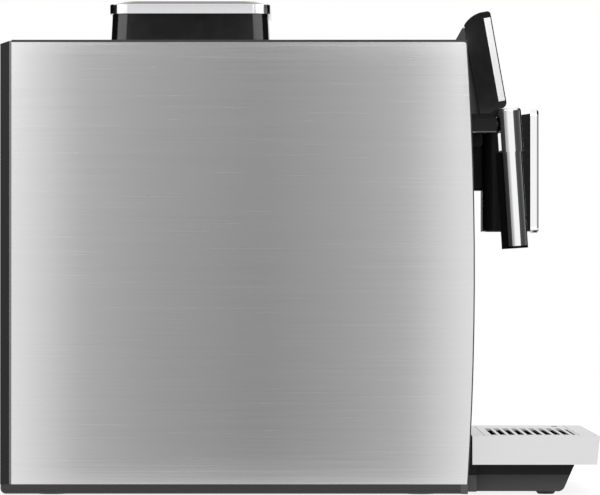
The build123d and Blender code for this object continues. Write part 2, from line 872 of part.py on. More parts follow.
with BuildPart() as hopper_lid_ring:
    with BuildSketch(Plane.XY.offset(ring_bottom)):
        opening(0, hopper_y, ring_half, ring_half, ring_corner)
        with Locations((0, hopper_y)):
            RectangleRounded(lid_half * 2, lid_half * 2, ring_corner - ring_wall, mode=Mode.SUBTRACT)
    extrude(amount=ring_top - ring_bottom)
    chamfer(hopper_lid_ring.faces().sort_by(Axis.Z)[-1].outer_wire().edges(), gap)
save(hopper_lid_ring, "hopper_lid_ring")

with BuildPart() as hopper_lid:
    with BuildSketch(Plane.XY.offset(ring_bottom)):
        opening(0, hopper_y, lid_half, lid_half, ring_corner - ring_wall)
    extrude(amount=ring_top - ring_bottom)
    with BuildSketch(Plane.XY.offset(ring_top)):
        opening(0, hopper_y, lid_half, lid_half, ring_corner - ring_wall)
    with BuildSketch(Plane.XY.offset(height)):
        opening(0, hopper_y, lid_half - lid_inset, lid_half - lid_inset, ring_corner - ring_wall)
    loft()
    with BuildSketch(Plane.XY.offset(ring_bottom)):
        opening(0, hopper_y, plug_half, plug_half, hopper_corner - hopper_wall - lid_plug_gap)
        with Locations((0, hopper_y)):
            RectangleRounded(
                (plug_half - hopper_wall) * 2,
                (plug_half - hopper_wall) * 2,
                hopper_corner - hopper_wall * 2 - lid_plug_gap,
                mode=Mode.SUBTRACT,
            )
    extrude(amount=-lid_plug_depth)
save(hopper_lid, "hopper_lid")


# Grinder: housing, fixed ring burr, turning cone burr, and its geared drive
housing_bottom = 250.0
housing_floor = 256.0
housing_radius = 46.0
housing_bore = 30.0
burr_seat_bottom = 282.0
burr_seat_top = 300.0
burr_seat_radius = 25.0
burr_lip = 2.0
post_radius = 5.0
post_spread = 30.0
adjuster_half = 8.0
adjuster_bottom = 284.0
chute_floor_rear = 257.0
chute_floor_front = 246.0
chute_height = 15.0
chute_front_y = -6.0
chute_floor_wall = 2.0
burr_ring_inner_top = 19.0
burr_ring_inner_bottom = 24.0
cone_top_radius = 9.0
cone_bottom_radius = 21.5
cone_bottom = 276.0
cone_top = 297.0
burr_flute_count = 10
burr_flute_radius = 2.4
shaft_top = cone_bottom
gear_bottom = 240.0
gear_thick = 7.0

with BuildPart() as grinder_housing:
    with BuildSketch(Plane.XY.offset(housing_bottom)):
        with Locations((0, hopper_y)):
            Circle(housing_radius)
    extrude(amount=grinder_top - housing_bottom)
    block(
        (0, dial_x + adjuster_half),
        (dial_y - adjuster_half, dial_y + adjuster_half),
        (adjuster_bottom, adjuster_top + adjuster_half / 2),
    )
    with BuildSketch(Plane.XY.offset(grinder_shelf)):
        with Locations((0, hopper_y)):
            with PolarLocations(post_spread + post_radius, 4, start_angle=45):
                Circle(post_radius)
    extrude(amount=housing_bottom - grinder_shelf)
    with BuildSketch(Plane.YZ):
        with BuildLine():
            Polyline(
                (hopper_y - housing_bore, chute_floor_rear + chute_height),
                (chute_front_y, chute_floor_front + chute_height),
                (chute_front_y, chute_floor_front - chute_floor_wall),
                (hopper_y - housing_bore, chute_floor_rear - chute_floor_wall),
                close=True,
            )
        make_face()
    extrude(amount=chute_half + chute_wall, both=True)
    with BuildSketch(Plane.YZ):
        with BuildLine():
            Polyline(
                (hopper_y, chute_floor_rear + chute_height - chute_wall),
                (hopper_y - housing_bore, chute_floor_rear + chute_height - chute_wall),
                (chute_front_y - overrun, chute_floor_front + chute_height - chute_wall - gap),
                (chute_front_y - overrun, chute_floor_front - gap),
                (hopper_y - housing_bore, chute_floor_rear),
                (hopper_y, chute_floor_rear),
                close=True,
            )
        make_face()
    extrude(amount=chute_half, both=True, mode=Mode.SUBTRACT)
    with BuildSketch(grinder_plane):
        with BuildLine():
            Polyline(
                (0, housing_floor),
                (housing_bore, housing_floor),
                (housing_bore, burr_seat_bottom - burr_lip),
                (burr_seat_radius - burr_lip, burr_seat_bottom),
                (burr_seat_radius, burr_seat_bottom),
                (burr_seat_radius, burr_seat_top),
                (0, burr_seat_top),
                close=True,
            )
        make_face()
    revolve(axis=grinder_axis, mode=Mode.SUBTRACT)
    with BuildSketch(Plane.XY.offset(burr_seat_top)):
        opening(0, hopper_y, throat_half, throat_half, throat_corner)
    extrude(amount=grinder_top - burr_seat_top, mode=Mode.SUBTRACT)
    with Locations((0, hopper_y, housing_bottom)):
        Cylinder(
            burr_shaft_radius + running, (housing_floor - housing_bottom) * 2, mode=Mode.SUBTRACT
        )
    with Locations((dial_x, dial_y, adjuster_top)):
        Cylinder(
            dial_shaft_radius + running,
            adjuster_half,
            align=(Align.CENTER, Align.CENTER, Align.CENTER),
            mode=Mode.SUBTRACT,
        )
save(grinder_housing, "grinder_housing")

with BuildPart() as upper_burr:
    with BuildSketch(grinder_plane):
        with BuildLine():
            Polyline(
                (burr_ring_inner_bottom, burr_seat_bottom),
                (burr_seat_radius, burr_seat_bottom),
                (burr_seat_radius, burr_seat_top),
                (burr_ring_inner_top, burr_seat_top),
                close=True,
            )
        make_face()
    revolve(axis=grinder_axis)
save(upper_burr, "upper_burr")

with BuildPart() as lower_burr:
    with BuildSketch(grinder_plane):
        with BuildLine():
            Polyline(
                (0, cone_bottom),
                (cone_bottom_radius, cone_bottom),
                (cone_bottom_radius, cone_bottom + burr_lip * 2),
                (cone_top_radius, cone_top),
                (0, cone_top),
                close=True,
            )
        make_face()
    revolve(axis=grinder_axis)
    with BuildSketch(Plane.XY.offset(cone_bottom + burr_lip * 2)):
        with Locations((0, hopper_y)):
            with PolarLocations(cone_bottom_radius, burr_flute_count):
                Circle(burr_flute_radius)
    extrude(amount=cone_top - cone_bottom, taper=0, mode=Mode.SUBTRACT)
save(lower_burr, "lower_burr")


# Spur gears of the grinder drive, with involute flanks
pressure_angle = 25.0
tooth_play = 0.12
flank_steps = 2
root_share = 1.25


def involute(base_radius, radius):
    """Angle swept by an involute of the base circle where it reaches the given radius."""
    stretch = sqrt(max(radius**2 - base_radius**2, 0)) / base_radius
    return stretch - atan2(stretch, 1)


def gear_outline(teeth, centre_x, centre_y, turn):
    """Closed gear outline whose tooth at the given turn, in degrees, is centred on that direction."""
    pitch_radius = gear_module * teeth / 2
    base_radius = pitch_radius * cos(radians(pressure_angle))
    tip_radius = pitch_radius + gear_module
    root_radius = pitch_radius - gear_module * root_share
    half_tooth = pi / 2 / teeth - tooth_play / 2 / pitch_radius
    swept = half_tooth + involute(base_radius, pitch_radius)
    start_radius = max(base_radius, root_radius)
    points = []
    for tooth in range(teeth):
        middle = radians(turn) + 2 * pi * tooth / teeth
        rising = []
        for step in range(flank_steps + 1):
            radius = start_radius + (tip_radius - start_radius) * step / flank_steps
            rising.append((radius, swept - involute(base_radius, radius)))
        flank = [(root_radius, rising[0][1])] if root_radius < start_radius else []
        flank += rising
        for radius, angle in flank:
            points.append((radius, middle - angle))
        for radius, angle in reversed(flank):
            points.append((radius, middle + angle))
    return [(centre_x + radius * cos(angle), centre_y + radius * sin(angle)) for radius, angle in points]


with BuildPart() as drive_gear:
    with BuildSketch(Plane.XY.offset(gear_bottom)):
        with BuildLine():
            Polyline(*gear_outline(gear_teeth, 0, hopper_y, -90.0), close=True)
        make_face()
    extrude(amount=gear_thick)
    with BuildSketch(Plane.XY.offset(grinder_shelf - frame_sheet)):
        with Locations((0, hopper_y)):
            Circle(burr_shaft_radius)
    extrude(amount=shaft_top - grinder_shelf + frame_sheet)
save(drive_gear, "drive_gear")


# Grinder motor: can, end boss and shaft below the shelf, with its pinion above
motor_radius = 21.0
motor_length = 62.0
motor_edge = 2.0
motor_boss_height = 1.8
motor_shaft_radius = 2.5
motor_tail_radius = 8.0
motor_tail_height = 4.0
motor_top = grinder_shelf - frame_sheet

with BuildPart() as grinder_motor:
    with BuildSketch(Plane.XY.offset(motor_top)):
        with Locations((0, motor_y)):
            Circle(motor_radius)
    extrude(amount=-motor_length)
    chamfer(grinder_motor.edges().group_by(Axis.Z)[0], motor_edge)
    with BuildSketch(Plane.XY.offset(motor_top)):
        with Locations((0, motor_y)):
            Circle(motor_boss_radius)
    extrude(amount=motor_boss_height)
    with BuildSketch(Plane.XY.offset(motor_top - motor_length)):
        with Locations((0, motor_y)):
            Circle(motor_tail_radius)
    extrude(amount=-motor_tail_height)
    with Locations((0, motor_y, motor_top + motor_boss_height)):
        Cylinder(
            motor_shaft_radius + running,
            motor_length / 2,
            mode=Mode.SUBTRACT,
        )
save(grinder_motor, "grinder_motor")

pinion_reach = 12.4
half_pitch_turn = 180 / pinion_teeth
pinion_turn = 90 + half_pitch_turn

with BuildPart() as motor_pinion:
    with BuildSketch(Plane.XY.offset(gear_bottom)):
        with BuildLine():
            Polyline(*gear_outline(pinion_teeth, 0, motor_y, pinion_turn), close=True)
        make_face()
    extrude(amount=gear_thick)
    with BuildSketch(Plane.XY.offset(gear_bottom)):
        with Locations((0, motor_y)):
            Circle(motor_shaft_radius)
    extrude(amount=motor_top - pinion_reach - gear_bottom)
save(motor_pinion, "motor_pinion")


# Brew unit: frame with the brew chamber, lifting screw, piston on a crosshead, and its drive motor
brew_half_x = 50.0
brew_reach = 30.0
brew_front_y = brew_y - brew_reach
brew_bottom = 112.0
brew_top = 236.0
brew_plate = 5.0
chamber_bottom = 175.0
chamber_top = 228.0
chamber_radius = 27.0
chamber_bore = 23.0
chamber_web_half = 8.0
screw_drive_x = 38.0
brew_screw_radius = 4.0
nut_radius = 7.0
crosshead_bottom = 121.0
crosshead_thick = 9.0
crosshead_half = 6.0
piston_rod_radius = 6.0
piston_bottom = 178.0
piston_height = 10.0
piston_play = 0.2
piston_groove = 1.0
brew_motor_radius = 13.0
brew_motor_height = 40.0

with BuildPart() as brew_frame:
    block(across(brew_half_x), (brew_front_y, cross_y), (brew_bottom, brew_bottom + brew_plate))
    block(across(brew_half_x), (brew_front_y, cross_y), (brew_top, brew_top + brew_plate))
    block(
        across(brew_half_x),
        (cross_y - brew_plate, cross_y),
        (brew_bottom, brew_top + brew_plate),
    )
    with BuildSketch(Plane.XY.offset(chamber_bottom)):
        with Locations((0, brew_y)):
            Circle(chamber_radius)
    extrude(amount=chamber_top - chamber_bottom)
    block(across(chamber_web_half), (brew_y, cross_y), (chamber_bottom, chamber_top))
    with BuildSketch(Plane.XY.offset(chamber_bottom)):
        with Locations((0, brew_y)):
            Circle(chamber_bore)
    extrude(amount=brew_top + brew_plate - chamber_bottom, mode=Mode.SUBTRACT)
    with Locations((screw_drive_x, brew_y, brew_bottom + brew_plate / 2)):
        Cylinder(brew_screw_radius + running, brew_plate, mode=Mode.SUBTRACT)
    with Locations((screw_drive_x, brew_y, brew_top + brew_plate / 2)):
        Cylinder(brew_screw_radius + running, brew_plate, mode=Mode.SUBTRACT)
save(brew_frame, "brew_frame")

with BuildPart() as brew_screw:
    with BuildSketch(Plane.XY.offset(brew_bottom)):
        with Locations((screw_drive_x, brew_y)):
            Circle(brew_screw_radius)
    extrude(amount=brew_top + brew_plate - brew_bottom)
save(brew_screw, "brew_screw")

with BuildPart() as brew_motor:
    with BuildSketch(Plane.XY.offset(brew_top + brew_plate)):
        with Locations((screw_drive_x, brew_y)):
            Circle(brew_motor_radius)
    extrude(amount=brew_motor_height)
    chamfer(brew_motor.edges().group_by(Axis.Z)[-1], motor_edge)
save(brew_motor, "brew_motor")

with BuildPart() as brew_piston:
    with BuildSketch(Plane.XY.offset(crosshead_bottom)):
        with BuildLine():
            Polyline(
                (0, brew_y - crosshead_half),
                (screw_drive_x, brew_y - crosshead_half),
                (screw_drive_x, brew_y + crosshead_half),
                (0, brew_y + crosshead_half),
                close=True,
            )
        make_face()
        with Locations((screw_drive_x, brew_y)):
            Circle(nut_radius)
        with Locations((0, brew_y)):
            Circle(nut_radius)
    extrude(amount=crosshead_thick)
    with BuildSketch(Plane.XY.offset(crosshead_bottom)):
        with Locations((screw_drive_x, brew_y)):
            Circle(brew_screw_radius + running)
    extrude(amount=crosshead_thick, mode=Mode.SUBTRACT)
    with BuildSketch(Plane.XY.offset(crosshead_bottom + crosshead_thick)):
        with Locations((0, brew_y)):
            Circle(piston_rod_radius)
    extrude(amount=piston_bottom - crosshead_bottom - crosshead_thick)
    with BuildSketch(Plane.XY.offset(piston_bottom)):
        with Locations((0, brew_y)):
            Circle(chamber_bore - piston_play)
    extrude(amount=piston_height)
    with BuildSketch(Plane.XY.offset(piston_bottom + piston_height / 2)):
        with Locations((0, brew_y)):
            Circle(chamber_bore)
            Circle(chamber_bore - piston_play - piston_groove, mode=Mode.SUBTRACT)
    extrude(amount=piston_groove * 2, mode=Mode.SUBTRACT)
save(brew_piston, "brew_piston")


# Powder chute: funnel from the deck flap to the trough above the brew chamber
powder_funnel_top = panel_top - rim_depth
powder_funnel_bottom = chute_floor_front + chute_height + chute_wall
powder_mouth_wall = 2.0
powder_neck_half = 10.0

with BuildPart() as powder_chute:
    for inset, mode in ((0.0, Mode.ADD), (powder_mouth_wall, Mode.SUBTRACT)):
        with BuildSketch(Plane.XY.offset(powder_funnel_top)):
            opening(
                0,
                powder_y,
                powder_half_x + rim_wall - inset,
                powder_half_y + rim_wall - inset,
                throat_corner - inset,
            )
        with BuildSketch(Plane.XY.offset(powder_funnel_bottom)):
            opening(
                0,
                powder_y,
                powder_neck_half - inset,
                powder_neck_half - inset,
                throat_corner - inset,
            )
        loft(mode=mode)
save(powder_chute, "powder_chute")


# Heaters, pump and their pipes
heater_wide = 34.0
heater_deep = 40.0
heater_tall = 90.0
heater_spacing = 16.0
heater_y = brew_y + heater_spacing
heater_z = 126.0
heater_round = 6.0
heater_pad = 8.0
heater_port_radius = 3.0
heater_port_length = 8.0
pump_radius = 17.0
pump_length = 62.0
pump_reach = 92.0
pump_y = frame_rear_y - pump_reach
pump_foot = 14.0
pump_nose_radius = 8.0
pump_nose_length = 14.0
pump_collar = 3.0
pump_collar_thick = 10.0
pipe_radius = 3.0


def heater(side):
    """Cast heater block against one side plate of the inner frame, with a port on its front."""
    inner = side * frame_half
    block(
        sorted((inner, inner - side * heater_wide)),
        (heater_y - heater_deep / 2, heater_y + heater_deep / 2 - heater_pad),
        (heater_z, heater_z + heater_tall),
    )
    with BuildSketch(Plane.XY.offset(heater_z + heater_tall)) as port:
        with Locations((inner - side * heater_wide / 2, heater_y - heater_pad / 2)):
            Circle(heater_port_radius + pipe_radius)
    extrude(port.sketch, amount=heater_port_length)


with BuildPart() as coffee_heater:
    heater(1)
    fillet(coffee_heater.faces().sort_by(Axis.X)[0].edges(), heater_round)
save(coffee_heater, "coffee_heater")

with BuildPart() as steam_heater:
    heater(-1)
    fillet(steam_heater.faces().sort_by(Axis.X)[-1].edges(), heater_round)
save(steam_heater, "steam_heater")

with BuildPart() as water_pump:
    with BuildSketch(Plane.XZ.offset(-pump_y - pump_length)):
        with Locations((pump_x, pump_z)):
            Circle(pump_radius)
    extrude(amount=pump_length)
    with BuildSketch(Plane.XZ.offset(-pump_y)):
        with Locations((pump_x, pump_z)):
            Circle(pump_nose_radius)
    extrude(amount=pump_nose_length)
    with BuildSketch(Plane.XZ.offset(-pump_y - pump_length)):
        with Locations((pump_x, pump_z)):
            Circle(pump_nose_radius)
    extrude(amount=-pump_nose_length)
    for collar_y in (pump_y + pump_collar, pump_y + pump_length - pump_collar - pump_collar_thick):
        with BuildSketch(Plane.XZ.offset(-collar_y - pump_collar_thick)):
            with Locations((pump_x, pump_z)):
                Circle(pump_radius + pump_collar)
            with Locations((pump_x, (pump_z + pan_floor_top) / 2)):
                Rectangle(pump_foot * 2, pump_z - pan_floor_top)
        extrude(amount=pump_collar_thick)
save(water_pump, "water_pump")


# Tank seat: shelf behind the inner frame that carries the water tank and its outlet valve
seat_top = 60.0
seat_thick = 4.0
seat_leg = 4.0
seat_half_x = 112.0
seat_front_y = frame_rear_y + frame_sheet * 2
seat_rear_y = tank_y + tank_half_y - gap
seat_port_radius = 7.0
seat_port_height = 6.0
seat_port_bore = 3.0
seat_spigot = 14.0
seat_x = -52.0

with BuildPart() as tank_seat:
    block(across(seat_half_x), (seat_front_y, seat_rear_y), (seat_top - seat_thick, seat_top))
    for side in (-1, 1):
        block(
            sorted((side * (seat_half_x - seat_leg), side * seat_half_x)),
            (seat_front_y, seat_rear_y),
            (pan_floor_top, seat_top),
        )
    with BuildSketch(Plane.XY.offset(seat_top + seat_port_height)):
        with Locations((seat_x, tank_y)):
            Circle(seat_port_radius)
    extrude(amount=-(seat_port_height + seat_thick + seat_spigot))
    with BuildSketch(Plane.XY.offset(seat_top + seat_port_height)):
        with Locations((seat_x, tank_y)):
            Circle(seat_port_bore)
    extrude(amount=-(seat_port_height + seat_thick + seat_spigot), mode=Mode.SUBTRACT)
save(tank_seat, "tank_seat")


# Water tank: lift-out tub with a moulded handle bar, and a lid hinged on ears at its rear
tank_bottom = 60.5
tank_wall = 2.4
tank_top = 342.5
tank_corner = 9.0
tank_port_gap = 0.6
tank_boss_radius = 12.0
tank_boss_height = 10.0
tank_port_depth = 8.0
tank_lip = 3.0
tank_ear_thick = 3.0
tank_ear_radius = 2.6
tank_grip_length = 42.0
lid_side_gap = 0.4
tank_axis_y = tank_y + tank_lid_half_y - lid_thick / 2 - gap
tank_axis_z = lid_axis_z
tank_lid_plate_half = tank_lid_half_x + tank_lid_ear - gap
tank_ear_inner = tank_lid_half_x + lid_side_gap

with BuildPart() as water_tank:
    with BuildSketch(Plane.XY.offset(tank_bottom)):
        opening(0, tank_y, tank_half_x, tank_half_y, tank_corner)
    extrude(amount=tank_top - tank_bottom)
    with BuildSketch(Plane.XY.offset(tank_bottom + tank_wall)):
        opening(0, tank_y, tank_half_x - tank_wall, tank_half_y - tank_wall, tank_corner - tank_wall)
    extrude(amount=tank_top, mode=Mode.SUBTRACT)
    with BuildSketch(Plane.XY.offset(tank_bottom)):
        with Locations((seat_x, tank_y)):
            Circle(tank_boss_radius)
    extrude(amount=tank_boss_height)
    with BuildSketch(Plane.XY.offset(tank_bottom)):
        with Locations((seat_x, tank_y)):
            Circle(seat_port_radius + tank_port_gap)
    extrude(amount=tank_port_depth, mode=Mode.SUBTRACT)
    for side in (-1, 1):
        block(
            sorted((side * (tank_half_x - tank_wall), side * (tank_ear_inner + tank_ear_thick))),
            (tank_axis_y - tank_ear_radius * 2, tank_axis_y + tank_ear_radius / 2 - gap),
            (tank_top - tank_lip, tank_top),
        )
        with BuildSketch(Plane.YZ.offset(side * tank_ear_inner)):
            with Locations((tank_axis_y, tank_axis_z)):
                Circle(lid_thick / 2)
            with Locations((tank_axis_y - tank_ear_radius / 2, (tank_axis_z + tank_top) / 2)):
                Rectangle(tank_ear_radius + lid_thick / 2, tank_axis_z - tank_top)
        extrude(amount=side * tank_ear_thick)
        with BuildSketch(Plane.YZ.offset(side * tank_ear_inner)):
            with Locations((tank_axis_y, tank_axis_z)):
                Circle(lid_pin_radius + running)
        extrude(amount=side * tank_ear_thick, mode=Mode.SUBTRACT)
save(water_tank, "water_tank")

with BuildPart() as tank_lid:
    with BuildSketch(Plane.YZ):
        with BuildLine():
            lid_front = tank_y - tank_lid_half_y + gap
            lid_low = tank_axis_z - lid_thick / 2
            Line((tank_axis_y, lid_low), (lid_front, lid_low))
            Line((lid_front, lid_low), (lid_front, deck_top))
            Line((lid_front, deck_top), (tank_axis_y, deck_top))
            ThreePointArc(
                (tank_axis_y, deck_top),
                (tank_axis_y + lid_thick / 2, tank_axis_z),
                (tank_axis_y, lid_low),
            )
        make_face()
    extrude(amount=tank_lid_plate_half, both=True)
    for side in (-1, 1):
        block(
            sorted((side * tank_lid_half_x, side * (tank_lid_plate_half + overrun))),
            (tank_axis_y - tank_ear_radius * 2 - gap, tank_axis_y + overrun),
            (tank_axis_z - overrun, tank_axis_z + overrun),
            mode=Mode.SUBTRACT,
        )
    with BuildSketch(Plane.YZ):
        with Locations((tank_axis_y, tank_axis_z)):
            Circle(lid_pin_radius)
    extrude(amount=tank_ear_inner + tank_ear_thick, both=True)
    with BuildSketch(Plane.XY.offset(deck_top)):
        with Locations((0, tank_y - tank_lid_half_y)):
            SlotOverall(tank_grip_length, lid_grip_radius * 2)
    extrude(amount=-lid_grip_depth, mode=Mode.SUBTRACT)
save(tank_lid, "tank_lid")


# Display head pieces: housing, silver bezel, glass front, screen and keys
head_glass = 0.8
head_bezel = 5.0
head_brow_round = 2.6
head_chin_round = 4.4
screen_half_x = 54.0
screen_half_y = 19.0
screen_rise = 6.0
screen_back = 0.4
key_length = 30.0
key_height = 14.0
key_corner = 3.0
key_x = 80.0
key_rise = 4.0
key_pitch = 26.0
key_play = 0.25
key_flange = 1.8
key_flange_thick = 1.2
key_pocket = 4.2
power_radius = 5.5
power_drop = 24.0
key_sink = head_glass + head_bezel
keys = {
    "left_upper_key": (-key_x, key_rise + key_pitch / 2),
    "left_lower_key": (-key_x, key_rise - key_pitch / 2),
    "right_upper_key": (key_x, key_rise + key_pitch / 2),
    "right_lower_key": (key_x, key_rise - key_pitch / 2),
}


def head_slab():
    """The whole display head as one solid, from its side profile."""
    with BuildSketch(head_side) as profile:
        with BuildLine():
            Line((0, head_top), (head_crown_start, head_top))
            ThreePointArc(
                (head_crown_start, head_top),
                (head_crown_middle, head_top - head_crown_drop),
                (head_thick, head_top - head_crown_end),
            )
            Polyline(
                (head_thick, head_top - head_crown_end),
                (head_thick, -head_low - head_thick),
                (head_chin_end, -head_low - head_chin_drop),
                (head_chin_start, -head_low),
                (0, -head_low),
                (0, head_top),
            )
        make_face()
    extrude(profile.sketch, amount=head_half, both=True)
    block(
        across(half_width),
        (-bow_middle - head_thick * 2, 0),
        (0, head_under_z),
        mode=Mode.SUBTRACT,
    )


def round_head(builder):
    """Round the head's brow and chin."""
    front_edges = builder.faces().filter_by(head_front).sort_by(Axis.Y)[0].edges().filter_by(Axis.X)
    fillet(front_edges.sort_by(Axis.Z)[-1], head_brow_round)
    front_edges = builder.faces().filter_by(head_front).sort_by(Axis.Y)[0].edges().filter_by(Axis.X)
    fillet(front_edges.sort_by(Axis.Z)[0], head_chin_round)


def key_shape(place, grow):
    """Outline of a key, grown all round by the given amount."""
    with Locations(place):
        RectangleRounded(key_length + grow * 2, key_height + grow * 2, key_corner + grow)


def power_shape(grow):
    """Outline of the round power key, grown by the given amount."""
    with Locations((0, -power_drop)):
        Circle(power_radius + grow)


def key_holes(grow):
    """Outlines of all five keys, grown by the given amount."""
    for place in keys.values():
        key_shape(place, grow)
    power_shape(grow)


with BuildPart() as display_housing:
    head_slab()
    round_head(display_housing)
    split(bisect_by=head_front.offset(-key_sink), keep=Keep.BOTTOM)
    with BuildSketch(head_front.offset(-key_sink)):
        key_holes(key_flange + key_play)
    extrude(amount=-key_pocket, mode=Mode.SUBTRACT)
save(display_housing, "display_housing")

with BuildPart() as display_bezel:
    head_slab()
    round_head(display_bezel)
    split(bisect_by=head_front.offset(-key_sink), keep=Keep.TOP)
    split(bisect_by=head_front.offset(-head_glass), keep=Keep.BOTTOM)
    with BuildSketch(head_front.offset(-head_glass)):
        key_holes(key_play)
        with Locations((0, screen_rise)):
            Rectangle(screen_half_x * 2 + gap, screen_half_y * 2 + gap)
    extrude(amount=-head_bezel, mode=Mode.SUBTRACT)
save(display_bezel, "display_bezel")

with BuildPart() as display_glass:
    head_slab()
    round_head(display_glass)
    split(bisect_by=head_front.offset(-head_glass), keep=Keep.TOP)
    with BuildSketch(head_front):
        key_holes(key_play)
    extrude(amount=-head_glass, mode=Mode.SUBTRACT)
save(display_glass, "display_glass")

with BuildPart() as display_screen:
    with BuildSketch(head_front.offset(-key_sink)):
        with Locations((0, screen_rise)):
            Rectangle(screen_half_x * 2, screen_half_y * 2)
    extrude(amount=head_bezel - screen_back)
save(display_screen, "display_screen")

for key_name, key_place in keys.items():
    with BuildPart() as key:
        with BuildSketch(head_front):
            key_shape(key_place, 0)
        extrude(amount=-key_sink)
        with BuildSketch(head_front.offset(-key_sink)):
            key_shape(key_place, key_flange)
        extrude(amount=-key_flange_thick)
    save(key, key_name)

with BuildPart() as power_key:
    with BuildSketch(head_front):
        power_shape(0)
    extrude(amount=-key_sink)
    with BuildSketch(head_front.offset(-key_sink)):
        power_shape(key_flange)
    extrude(amount=-key_flange_thick)
save(power_key, "power_key")


# Spout: carriage on the guide rods, shell, chrome front plate and two nozzles
shell_half = 33.0
shell_back_y = -142.7
shell_front_y = -179.7
shell_bottom = 202.0
shell_back_top = 289.0
shell_front_top = 294.0
shell_round = 9.0
shell_wall = 3.0
shell_pocket = 20.0
plate_half = 37.0
plate_front_y = -186.2
plate_bottom = 200.3
plate_top = 297.3
plate_bevel = 1.4
plate_corner = 5.0
slider_half = 27.0
slider_front_y = -121.0
slider_rear_y = -102.0
slider_round = 3.0
nozzle_radius = 4.5
nozzle_bore = 2.5
nozzle_spread = 9.5
nozzle_y = -163.0
nozzle_bottom = 198.0
shell_groove = 1.2
shell_groove_width = 3.0
shell_groove_y = -152.0

with BuildPart() as spout_carriage:
    block(across(arm_half), (shell_back_y, slider_rear_y), (arm_bottom, arm_top))
    fillet(spout_carriage.edges().filter_by(Axis.Y), slider_round)
    block(across(slider_half), (slider_front_y, slider_rear_y), (arm_bottom, arm_top))
    with BuildSketch(Plane.XY.offset(arm_bottom)):
        with Locations((-rod_spread, rod_y), (rod_spread, rod_y)):
            Circle(rod_radius + running)
    extrude(amount=arm_top - arm_bottom, mode=Mode.SUBTRACT)
save(spout_carriage, "spout_carriage")

with BuildPart() as spout_shell:
    with BuildSketch(Plane.YZ):
        with BuildLine():
            Polyline(
                (shell_back_y, shell_bottom),
                (shell_back_y, shell_back_top),
                (shell_front_y, shell_front_top),
                (shell_front_y, shell_bottom),
                close=True,
            )
        make_face()
    extrude(amount=shell_half, both=True)
    back_corners = spout_shell.edges().filter_by(Axis.Z).group_by(Axis.Y)[-1]
    fillet(back_corners, shell_round)
    block(
        across(shell_half - shell_wall),
        (shell_front_y + shell_wall, shell_back_y - shell_wall),
        (shell_bottom, shell_bottom + shell_pocket),
        mode=Mode.SUBTRACT,
    )
    for side in (-1, 1):
        block(
            sorted((side * (shell_half - shell_groove), side * (shell_half + overrun))),
            (shell_groove_y - shell_groove_width, shell_groove_y),
            (shell_bottom, shell_front_top + overrun),
            mode=Mode.SUBTRACT,
        )
save(spout_shell, "spout_shell")

with BuildPart() as spout_plate:
    with BuildSketch(Plane.XZ.offset(-shell_front_y)):
        with Locations((0, (plate_bottom + plate_top) / 2)):
            RectangleRounded(plate_half * 2, plate_top - plate_bottom, plate_corner)
    extrude(amount=shell_front_y - plate_front_y)
    chamfer(spout_plate.faces().sort_by(Axis.Y)[0].edges(), plate_bevel)
save(spout_plate, "spout_plate")

with BuildPart() as spout_nozzles:
    for inset, mode in ((0.0, Mode.ADD), (nozzle_radius - nozzle_bore, Mode.SUBTRACT)):
        with BuildSketch(Plane.XY.offset(nozzle_bottom)):
            with Locations((-nozzle_spread, nozzle_y), (nozzle_spread, nozzle_y)):
                Circle(nozzle_radius - inset)
        extrude(amount=shell_bottom + shell_pocket - nozzle_bottom, mode=mode)
save(spout_nozzles, "spout_nozzles")


# Steam wand: arm on the fascia, chrome cap on its pivot, tube and black spine
wand_y = -160.4
wand_tilt = 3.65
cap_radius = 9.5
cap_rise = 12.3
cap_drop = 21.4
cap_dome = 2.4
tube_radius = 8.3
tube_end = 93.4
tube_bore = 3.0
spine_out = 11.8
spine_half = 3.6
spine_rim = 1.8
spine_gap = 0.02
wand_arm_half = 7.0
wand_arm_bottom = 276.7
wand_arm_top = 288.1
wand_arm_front_y = -150.2
wand_arm_slope = 1.7
wand_arm_edge = 1.0
pivot_radius = 3.5
pivot_reach = 7.0

wand_up = (0, sin(radians(wand_tilt)), cos(radians(wand_tilt)))
wand_plane = Plane(origin=(wand_x, wand_y, wand_pivot_z), x_dir=(1, 0, 0), z_dir=wand_up)
pivot_plane = Plane.XZ.offset(-wand_arm_front_y)

with BuildPart() as wand_arm:
    with BuildSketch(Plane.YZ.offset(wand_x)):
        with BuildLine():
            Polyline(
                (wand_arm_front_y, wand_arm_bottom),
                (-bow_bottom, wand_arm_bottom),
                (-bow_bottom, wand_arm_top - wand_arm_slope),
                (wand_arm_front_y, wand_arm_top),
                close=True,
            )
        make_face()
    extrude(amount=wand_arm_half, both=True)
    chamfer(wand_arm.edges().filter_by(Axis.Y), wand_arm_edge)
    with BuildSketch(Plane.YZ):
        with BuildLine():
            bow_outline(fascia_lip, -bow_bottom)
        make_face()
    extrude(amount=half_width, both=True, mode=Mode.SUBTRACT)
    with BuildSketch(pivot_plane):
        with Locations((wand_x, wand_pivot_z)):
            Circle(pivot_radius)
    extrude(amount=pivot_reach)
save(wand_arm, "wand_arm")

with BuildPart() as wand_cap:
    with BuildSketch(wand_plane.offset(-cap_drop)):
        Circle(cap_radius)
    extrude(amount=cap_drop + cap_rise)
    fillet(wand_cap.edges().group_by(Axis.Z)[-1], cap_dome)
    with BuildSketch(pivot_plane):
        with Locations((wand_x, wand_pivot_z)):
            Circle(pivot_radius + running)
    extrude(amount=pivot_reach + slide_gap, mode=Mode.SUBTRACT)
save(wand_cap, "wand_cap")

with BuildPart() as wand_tube:
    with BuildSketch(wand_plane.offset(-tube_end)):
        Circle(tube_radius)
        Circle(tube_bore, mode=Mode.SUBTRACT)
    extrude(amount=tube_end - cap_drop)
save(wand_tube, "wand_tube")

